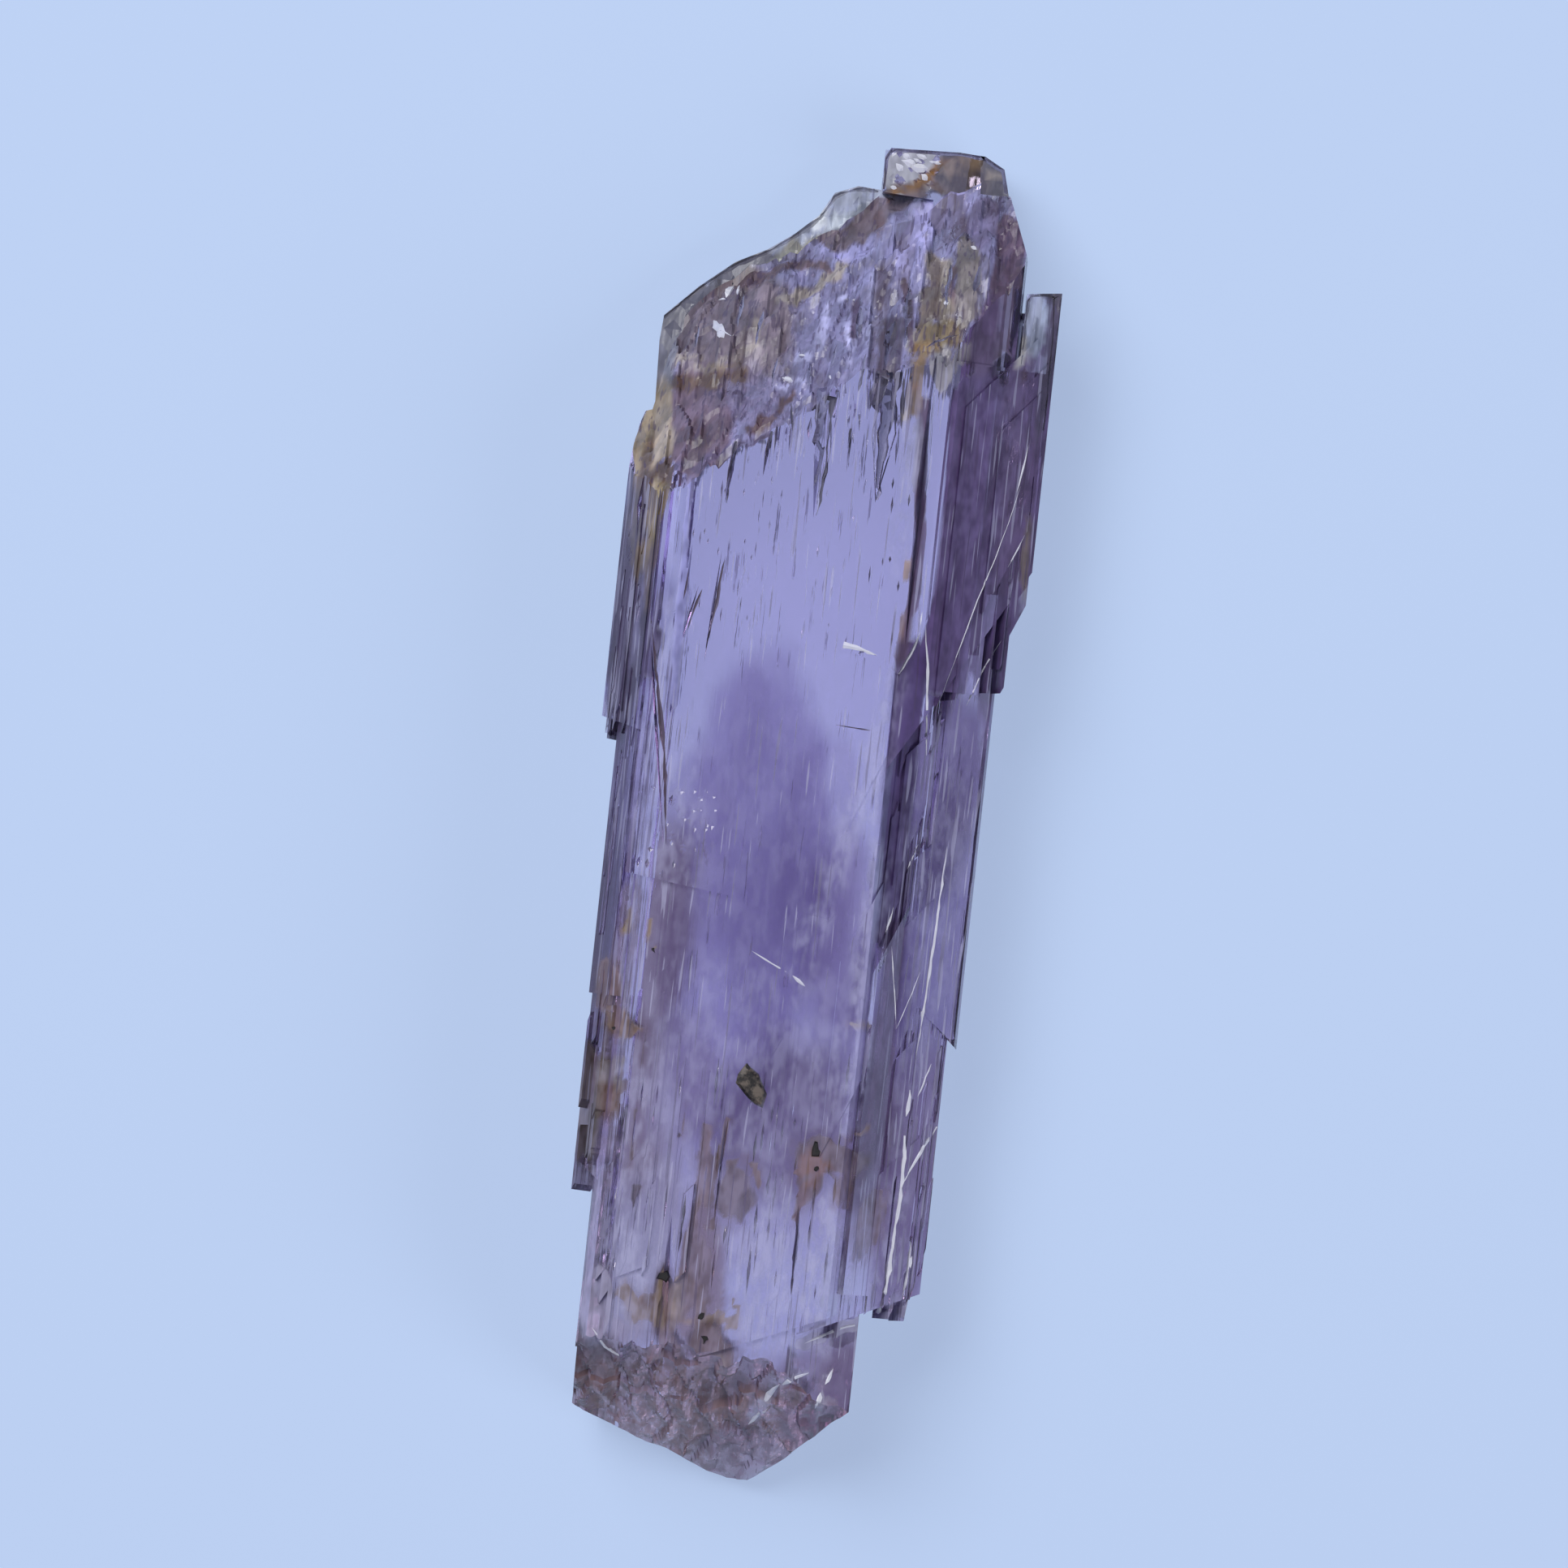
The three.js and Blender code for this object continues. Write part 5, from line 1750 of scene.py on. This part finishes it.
@dataclass
class Crystal:
    """The crystal's body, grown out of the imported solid."""

    etched_end: EtchedEnd = field(default_factory=EtchedEnd)
    broken_end: BrokenEnd = field(default_factory=BrokenEnd)
    bundles: tuple[LathBundle, ...] = (
        # thin laths on the upper right flank, mostly at its outer edge
        LathBundle((4.6, 6.83), (7.2, 4.72), (6.0, 15.0), 9, THIN, (2.5, 7.0), (0.01, 0.04), 0.05, 3),
        LathBundle((6.6, 5.21), (7.3, 4.64), (5.5, 16.5), 13, (0.08, 0.2), (1.5, 5.0), (0.02, 0.08), 0.1, 4),
        # crowded laths on the lower right flank
        LathBundle((4.4, 5.83), (6.3, 4.44), (-17.0, 4.0), 90, (0.1, 0.34), (1.6, 5.5), (0.03, 0.2), 0.16, 7),
        LathBundle((3.1, 7.0), (4.3, 5.9), (-16.0, 4.0), 34, THIN, (2.0, 7.0), (0.02, 0.1), 0.1, 9),
        # the left flank
        LathBundle((-7.35, 5.72), (-6.2, 7.2), (3.6, 13.5), 34, THIN, (1.5, 5.0), (0.02, 0.12), 0.1, 12),
        LathBundle((-6.8, 6.23), (-6.2, 7.05), (-13.5, 2.5), 34, THIN, (1.5, 5.0), (0.02, 0.1), 0.1, 14),
        # low steps on the lower part of the front face
        LathBundle((-5.4, 7.28), (1.0, 7.38), (-18.5, -8.5), 30, WIDE, (2.5, 7.0), (0.01, 0.05), 0.12, 17),
        LathBundle((-1.8, 7.38), (2.6, 7.38), (-7.0, 5.0), 12, (0.2, 0.6), (3.0, 7.0), (0.01, 0.04), 0.1, 19),
        # both back bevels
        LathBundle((-5.3, 0.4), (-5.9, 2.0), (-17.0, 12.0), 30, BROAD, (2.0, 7.0), (0.02, 0.15), 0.1, 22),
    )
    fields: tuple[PitField, ...] = (
        PitField((-5.4, 6.5, 7.4), (2.8, 14.0, 7.4), 90, (0.05, 0.1), (0.2, 0.7), 0.06, 0.5, 31),
        PitField((-5.8, -3.6, 7.4), (-2.9, 0.6, 7.4), 50, (0.12, 0.3), (0.16, 0.4), 0.02, 0.25, 33),
        PitField((-5.9, -17.5, 7.3), (2.8, -9.0, 7.3), 80, (0.06, 0.14), (0.5, 2.0), 0.08, 0.4, 35),
        PitField((-3.6, 13.4, 7.4), (2.6, 16.6, 7.4), 44, (0.1, 0.26), (0.6, 2.0), 0.2, 0.25, 37),
        # flakes off the thin plate and the summit block
        PitField((-6.8, 15.0, 1.55), (0.4, 23.0, 1.55), 90, (0.3, 0.8), (0.4, 1.3), 0.1, 0.0, 41),
        PitField((0.8, 23.5, 3.12), (2.6, 24.8, 3.12), 14, (0.25, 0.6), (0.25, 0.6), 0.12, 0.0, 43),
    )
    lances: tuple[Line, ...] = (
        Line(((-3.77, 13.3), (-3.9, 11.0)), 0.2, Taper.LAST),
        Line(((-2.53, 13.8), (-2.64, 12.2)), 0.15, Taper.LAST),
        Line(((-0.42, 15.3), (-0.4, 13.0), (-0.54, 10.9)), 0.3, Taper.LAST),
        Line(((0.37, 14.2), (0.42, 12.8)), 0.14, Taper.LAST),
        Line(((2.09, 16.3), (2.2, 14.4)), 0.12),
        Line(((-1.9, 14.9), (-1.75, 13.9)), 0.1),
        Line(((-4.9, 12.6), (-4.95, 11.9)), 0.1, Taper.LAST),
    )
    shards: tuple[Line, ...] = (
        # the two wide see-through lances, and dark clefts further up the slope
        Line(((-0.72, 15.6), (-0.68, 13.4), (-0.6, 11.3)), 0.6, Taper.LAST, 0.4),
        Line(((1.5, 16.4), (1.62, 14.0), (1.61, 11.7)), 1.05, Taper.LAST, 0.3),
        Line(((0.24, 18.8), (0.21, 17.6)), 0.28),
        Line(((1.5, 18.4), (1.42, 17.4), (1.38, 16.6)), 0.5),
        Line(((1.95, 19.8), (2.01, 17.4)), 0.25),
        Line(((-1.32, 16.5), (-1.37, 15.5)), 0.25),
        Line(((-2.61, 16.6), (-2.72, 15.4)), 0.2),
        Line(((0.62, 17.0), (0.5, 15.6)), 0.22),
        Line(((-0.48, 17.3), (-0.62, 16.3)), 0.2),
        Line(((0.9, 16.2), (0.95, 14.9)), 0.16),
        Line(((-3.3, 18.3), (-3.5, 17.0)), 0.25),
        Line(((-4.1, 19.0), (-4.2, 17.6)), 0.2),
        Line(((-5.6, 17.6), (-5.7, 16.7)), 0.2),
        Line(((3.4, 20.7), (3.34, 19.0)), 0.3),
        Line(((4.5, 20.9), (4.3, 19.6)), 0.2),
        Line(((2.76, 17.45), (3.4, 17.9), (4.06, 18.11)), 0.16),
    )
    # painted highlights: short raised ledges, painted white, that glitter on the block, the mound and the
    # slope
    painted_glints: tuple[Line, ...] = (
        Line(((1.2, 24.66), (1.45, 24.55)), 0.26),
        Line(((1.6, 24.55), (1.95, 24.42)), 0.16),
        Line(((2.2, 24.5), (2.65, 24.46)), 0.14),
        Line(((0.98, 24.3), (1.25, 24.06)), 0.34),
        Line(((1.5, 24.3), (1.9, 24.2), (2.2, 24.25)), 0.3),
        Line(((1.95, 24.0), (2.15, 23.8)), 0.26),
        Line(((0.85, 23.42), (1.1, 23.38)), 0.18),
        Line(((1.2, 24.44), (1.75, 24.3)), 0.3),
        Line(((1.7, 24.7), (2.1, 24.6)), 0.2),
        Line(((-5.15, 17.8), (-4.8, 17.45), (-4.45, 17.25)), 0.36),
        Line(((-4.95, 17.45), (-4.65, 17.15)), 0.22),
        Line(((-4.75, 18.7), (-4.5, 19.2)), 0.26),
        Line(((-4.35, 18.85), (-4.3, 19.25)), 0.14),
        Line(((-5.05, 18.6), (-4.75, 18.65)), 0.1),
        Line(((4.05, 21.45), (4.25, 21.35)), 0.2),
        Line(((3.3, 19.3), (3.4, 19.15)), 0.16),
        Line(((-2.35, 15.85), (-1.95, 15.75)), 0.2),
        Line(((-1.85, 16.75), (-1.6, 16.75)), 0.13),
        Line(((-0.62, 16.1), (-0.55, 15.95)), 0.16),
    )
    cracks: tuple[Line, ...] = (
        Line(((-6.19, 6.61), (-5.63, 3.95), (-5.13, 1.59), (-4.72, -1.68)), 0.11),
        Line(((-3.73, 8.93), (-3.82, 7.6), (-4.07, 5.63)), 0.12),
        Line(((-4.42, 7.77), (-4.62, 7.1), (-4.79, 6.2)), 0.09),
        Line(((-4.98, 8.49), (-5.06, 7.33)), 0.07),
        Line(((1.55, -14.3), (1.6, -16.0), (1.62, -17.6)), 0.14),
        Line(((-1.36, -11.4), (-1.46, -13.4), (-1.47, -15.2)), 0.12),
        Line(((1.0, 3.35), (2.3, 3.28)), 0.05),
    )
    # raised ledges, whose white is partly frost and partly a painted highlight
    ledges: tuple[Line, ...] = (
        # the V-shaped break at the foot of the raised sliver
        Line(((0.95, 6.3), (1.5, 6.24), (2.2, 6.05)), 0.2, Taper.LAST, 0.8),
        Line(((1.6, 6.2), (2.5, 5.95), (3.1, 5.45)), 0.24, Taper.BOTH, 0.5),
        Line(((3.1, 5.45), (3.4, 6.2), (3.62, 6.9), (3.7, 7.8)), 0.14, Taper.BOTH, 0.5),
        # the long ridge down the middle of the right side
        Line(((3.87, 7.3), (4.12, 5.7), (4.3, 3.67), (4.43, 2.6)), 0.12, Taper.BOTH, 0.6),
        # slanted ledges across the dark flank
        Line(
            ((6.83, 12.85), (6.48, 11.3), (6.14, 10.0), (5.7, 8.56), (5.21, 6.64), (4.55, 4.15)),
            0.05, Taper.BOTH, 0.6,
        ),
        Line(((7.17, 11.08), (6.68, 9.82)), 0.07),
        Line(((6.73, 7.11), (6.11, 5.83), (5.71, 4.58)), 0.09),
        Line(((6.95, 14.4), (6.7, 12.6)), 0.06),
        Line(((4.47, -0.68), (4.18, -1.62)), 0.09),
        Line(((3.82, -3.07), (3.63, -4.09)), 0.09),
        # broken edges of the laths lower down
        Line(((3.9, -4.5), (4.15, -6.0), (4.41, -7.5)), 0.06),
        Line(((4.41, -7.5), (4.8, -6.3), (5.07, -5.35)), 0.05),
        Line(((5.55, -0.66), (5.47, -3.4), (5.38, -6.0), (5.24, -8.75)), 0.12),
        Line(((5.84, -8.68), (5.47, -9.93)), 0.14),
        Line(((5.15, -9.7), (5.14, -10.7)), 0.22),
        Line(((6.46, -10.73), (5.9, -11.7), (5.23, -13.27)), 0.12),
        Line(((5.14, -11.4), (5.22, -13.2), (5.14, -15.2), (5.05, -17.1), (4.85, -18.3)), 0.17, Taper.EVEN),
        Line(((5.82, -15.0), (5.85, -16.2), (5.72, -17.4)), 0.16),
        # the pale ledge under the right flank, and silvery edges in the broken end
        Line(((2.3, -19.35), (3.6, -18.65), (4.9, -18.3)), 0.14),
        Line(((2.6, -20.42), (2.0, -20.65), (1.5, -21.1)), 0.2),
        Line(((1.55, -20.95), (1.15, -21.5), (1.0, -21.9)), 0.28),
        Line(((1.25, -21.9), (0.85, -22.3), (0.55, -22.7)), 0.22),
        Line(((3.45, -20.2), (3.2, -20.8)), 0.16),
        Line(((3.1, -21.1), (2.95, -21.75)), 0.18),
        Line(((-5.5, -19.6), (-4.9, -20.3), (-4.2, -20.6)), 0.12),
        # scratches
        Line(((-1.18, -5.22), (-0.33, -5.63), (0.41, -5.95)), 0.06),
        Line(((0.4, -5.95), (0.9, -6.3)), 0.08),
    )
    # grooves round the plate, the summit block and the finger, with painted shade on their walls
    rims: tuple[Line, ...] = (
        Line(
            (
                (-6.98, 17.75), (-5.78, 18.95), (-4.53, 20.0), (-3.38, 20.6), (-2.43, 21.3), (-1.6, 22.05),
                (-1.1, 22.95), (-0.28, 23.3), (0.45, 23.27),
            ),
            0.13,
            Taper.EVEN,
        ),
        Line(((0.62, 23.3), (0.62, 24.48), (0.8, 24.78), (3.3, 24.88), (4.2, 24.82)), 0.13, Taper.EVEN),
        Line(((4.2, 24.82), (4.93, 24.45), (5.22, 23.4)), 0.15, Taper.EVEN),
        Line(((6.36, 17.3), (6.36, 19.8), (7.0, 19.98), (7.3, 19.9)), 0.12, Taper.EVEN),
        Line(((7.3, 19.9), (7.42, 18.5), (7.45, 15.0)), 0.1, Taper.EVEN),
    )
    finish: KunziteFinish = KunziteFinish()

    def _start(self) -> bpy.types.Object:
        """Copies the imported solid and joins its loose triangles.

        Returns:
            The copy.
        """
        draft = bmesh.new()
        draft.from_mesh(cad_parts[NODE].data)
        bmesh.ops.remove_doubles(draft, verts=draft.verts, dist=0.0005 * MM)
        mesh = bpy.data.meshes.new("crystal")
        draft.to_mesh(mesh)
        draft.free()
        for layer in list(mesh.uv_layers):
            mesh.uv_layers.remove(layer)
        mesh.materials.clear()
        return show("crystal", mesh)

    def build(self) -> bpy.types.Object:
        """Grows, etches and dresses the body.

        Returns:
            The crystal.
        """
        finish = self.finish.build()
        body = self._start()
        report(body, "the packed solid")
        LathGrower().strew(body, self.bundles, finish)
        report(body, "with its laths")
        self.etched_end.cut(body)
        self.broken_end.cut(body)
        report(body, "with its ends cut")
        PitCutter().strew(body, self.fields, finish)
        report(body, "with its pits")
        # ledges and glints are raised and painted white, as frost and as painted highlights
        raised = LineSweeper(cut=False, mark=Mark.FROST_AND_HIGHLIGHT, flatness=0.45)
        # cracks are cut in and filled with dirt and painted shade
        cracked = LineSweeper(cut=True, mark=Mark.DIRT_AND_SHADE, flatness=1.2)
        # grooves get painted shade on their walls
        grooved = LineSweeper(cut=True, mark=Mark.LANCE_SHADE, flatness=0.8)
        raised.sweep_on(body, (*self.ledges, *self.painted_glints), 1.0, finish)
        cracked.sweep_on(body, self.cracks, 1.6, finish)
        grooved.sweep_on(body, self.shards, 0.66, finish)
        grooved.sweep_on(body, self.lances, 1.0, finish)
        grooved.sweep_on(body, self.rims, 0.7, finish)
        report(body, "with its lines")
        Painter.dice(body.data)
        Painter.paint(body.data)
        body.data.materials.clear()
        body.data.materials.append(finish)
        for face in body.data.polygons:
            face.use_smooth = False
            face.material_index = 0
        report(body, "finished")
        return body


@dataclass(frozen=True)
class Grain:
    """A flat, faceted grain in the crystal, with its outline as x and y."""

    name: str
    outline: tuple[Place, ...]
    top: float
    thick: float
    lean: float = 0.0  # how much lower its right-hand side is, per millimetre

    def build(self, finish: bpy.types.Material) -> bpy.types.Object:
        """Makes the grain, with a bevelled rim.

        Args:
            finish: Its material.

        Returns:
            The grain.
        """
        middle = Vector((sum(x for x, _ in self.outline), sum(y for _, y in self.outline), 0.0))
        middle /= len(self.outline)
        rings = ((0.0, 0.72), (0.35, 1.0), (0.75, 0.95), (1.0, 0.6))
        points: list[Spot] = []
        for depth, share in rings:
            for x, y in self.outline:
                px = middle.x + (x - middle.x) * share
                py = middle.y + (y - middle.y) * share
                drop = self.lean * (px - middle.x)
                points.append((px, py, self.top - depth * self.thick - drop))
        count = len(self.outline)
        faces: list[tuple[int, ...]] = [tuple(range(count)), tuple(range(3 * count, 4 * count))]
        for ring in range(len(rings) - 1):
            for i in range(count):
                a = ring * count + i
                b = ring * count + (i + 1) % count
                faces.append((a, b, b + count, a + count))
        mesh = closed_mesh(self.name, points, faces)
        mesh.materials.append(finish)
        return show(self.name, mesh)


@dataclass
class Inclusions:
    """The olive flake, the black grain and the small dark specks."""

    flake_finish: GrainFinish = GrainFinish("olive_flake", tone(24, 20, 24), tone(98, 88, 82))
    grain_finish: GrainFinish = GrainFinish("black_grain", tone(8, 6, 10), tone(28, 22, 28))
    flake: Grain = Grain(
        "flake",
        (
            (-0.93, -9.33), (-0.44, -9.67), (-0.06, -10.38), (-0.16, -10.9), (-0.47, -10.79),
            (-0.73, -10.6), (-1.24, -10.09), (-1.19, -9.75),
        ),
        7.46,
        0.3,
        0.05,
    )
    black_grain: Grain = Grain(
        "black_grain",
        (
            (1.79, -12.5), (1.78, -12.2), (1.86, -11.86), (1.98, -11.88), (2.04, -12.17), (2.16, -12.28),
            (2.09, -12.48),
        ),
        7.46,
        0.4,
    )
    specks: tuple[Spot, ...] = (
        (-4.78, -5.55, 0.1),
        (-3.13, -17.41, 0.2),
        (-1.56, -18.75, 0.17),
        (-1.35, -19.55, 0.14),
        (-0.86, -9.5, 0.11),
        (-5.9, -8.6, 0.07),
        (2.05, -12.9, 0.08),
    )

    def build(self) -> list[bpy.types.Object]:
        """Makes all the grains.

        Returns:
            The pieces.
        """
        black = self.grain_finish.build()
        pieces = [self.flake.build(self.flake_finish.build()), self.black_grain.build(black)]
        for number, (x, y, size) in enumerate(self.specks):
            corners = []
            for corner in range(7):
                angle = math.tau * corner / 7
                reach = size * (0.45 + 1.0 * chance(number, corner))
                corners.append((x + reach * math.cos(angle), y + 1.2 * reach * math.sin(angle)))
            speck = Grain(f"speck_{number + 1}", tuple(corners), 7.45, size * 1.2 + 0.1)
            pieces.append(speck.build(black))
        return pieces


def report(piece: bpy.types.Object, what: str) -> None:
    """Logs how many faces a piece has."""
    log.info("%s, %s: %d faces", piece.name, what, len(piece.data.polygons))


# ---------------------------------------------------------------- the studio


@dataclass(frozen=True)
class SoftLight:
    """A square studio light that points at the crystal."""

    name: str
    place: Spot  # metres
    size: float
    power: float
    colour: Colour = (1.0, 1.0, 1.0)

    def build(self) -> None:
        """Hangs the light."""
        lamp = bpy.data.lights.new(self.name, "AREA")
        lamp.shape = "SQUARE"
        lamp.size = self.size
        lamp.energy = self.power
        lamp.color = self.colour
        holder = bpy.data.objects.new(self.name, lamp)
        holder.location = self.place
        holder.rotation_euler = (-Vector(self.place)).to_track_quat("-Z", "Y").to_euler()
        bpy.context.scene.collection.objects.link(holder)


@dataclass
class Studio:
    """A pale floor, soft lights and the camera over the crystal."""

    lean: float = 6.2  # degrees that the crystal leans to the right in the picture
    middle: Spot = (-0.664, 0.992, 4.0)  # what is in the middle of the picture, in millimetres
    view_width: float = 57.96
    distance: float = 400.0
    sensor: float = 36.0
    floor_gap: float = 0.08  # the crystal's high points rest on the floor, its face lies just over it
    floor_colour: Colour = (0.2, 0.25, 0.34)
    floor_glow: Colour = (0.318, 0.394, 0.56)
    dim: float = 0.16
    lights: tuple[SoftLight, ...] = (
        SoftLight("key", (-0.25, 0.25, 0.45), 0.35, 2.9),
        SoftLight("fill", (0.45, -0.2, 0.35), 0.3, 1.3),
    )

    def camera(self) -> None:
        """Puts the camera straight over the crystal."""
        data = bpy.data.cameras.new("camera")
        data.sensor_width = self.sensor
        data.lens = self.sensor * self.distance / self.view_width
        data.clip_start = 0.01
        holder = bpy.data.objects.new("camera", data)
        x, y, z = self.middle
        holder.location = (x * MM, y * MM, (z + self.distance) * MM)
        holder.rotation_euler = (0.0, 0.0, math.radians(self.lean))
        bpy.context.scene.collection.objects.link(holder)
        bpy.context.scene.camera = holder

    def floor(self) -> bpy.types.Object:
        """Lays the pale floor.

        Returns:
            The floor.
        """
        half = 1.5
        mesh = bpy.data.meshes.new("floor")
        low = -self.floor_gap * MM
        corners = [(-half, -half, low), (half, -half, low), (half, half, low), (-half, half, low)]
        mesh.from_pydata(corners, [], [(0, 1, 2, 3)])
        material, graph = blank("floor")
        inputs = {
            "Base Color": self.floor_colour,
            "Roughness": 0.9,
            "Specular IOR Level": 0.1,
            "Emission Color": self.floor_glow,
            "Emission Strength": 1.0,
        }
        shader = graph.term("ShaderNodeBsdfPrincipled", None, inputs)
        graph.node("ShaderNodeOutputMaterial", None, {"Surface": shader})
        mesh.materials.append(material)
        return show("floor", mesh)

    def surroundings(self) -> None:
        """Keeps the room dim for what the crystal reflects, and pale for the camera itself."""
        world = bpy.data.worlds.new("studio")
        world.use_nodes = True
        world.node_tree.nodes.clear()
        graph = Graph(world.node_tree)
        seen = graph.term("ShaderNodeLightPath", None, None, "Is Camera Ray")
        strength = seen * (0.9 - self.dim) + self.dim
        inputs = {"Color": (0.68, 0.79, 0.98), "Strength": strength}
        background = graph.term("ShaderNodeBackground", None, inputs)
        graph.node("ShaderNodeOutputWorld", None, {"Surface": background})
        bpy.context.scene.world = world

    def build(self) -> None:
        """Sets up the whole studio."""
        self.camera()
        self.floor()
        self.surroundings()
        for light in self.lights:
            light.build()
        bpy.context.scene.view_settings.view_transform = "Standard"


def main() -> None:
    """Builds the studio, the crystal and what is in it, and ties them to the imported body."""
    logging.basicConfig(level=logging.INFO, format="%(name)s: %(message)s")
    Studio().build()
    crystal = Crystal().build()
    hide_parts(NODE)
    pieces = [crystal, *Inclusions().build()]
    for piece in pieces:
        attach(piece, BODY)
        report(piece, "placed")


if __name__ == "__main__":
    main()
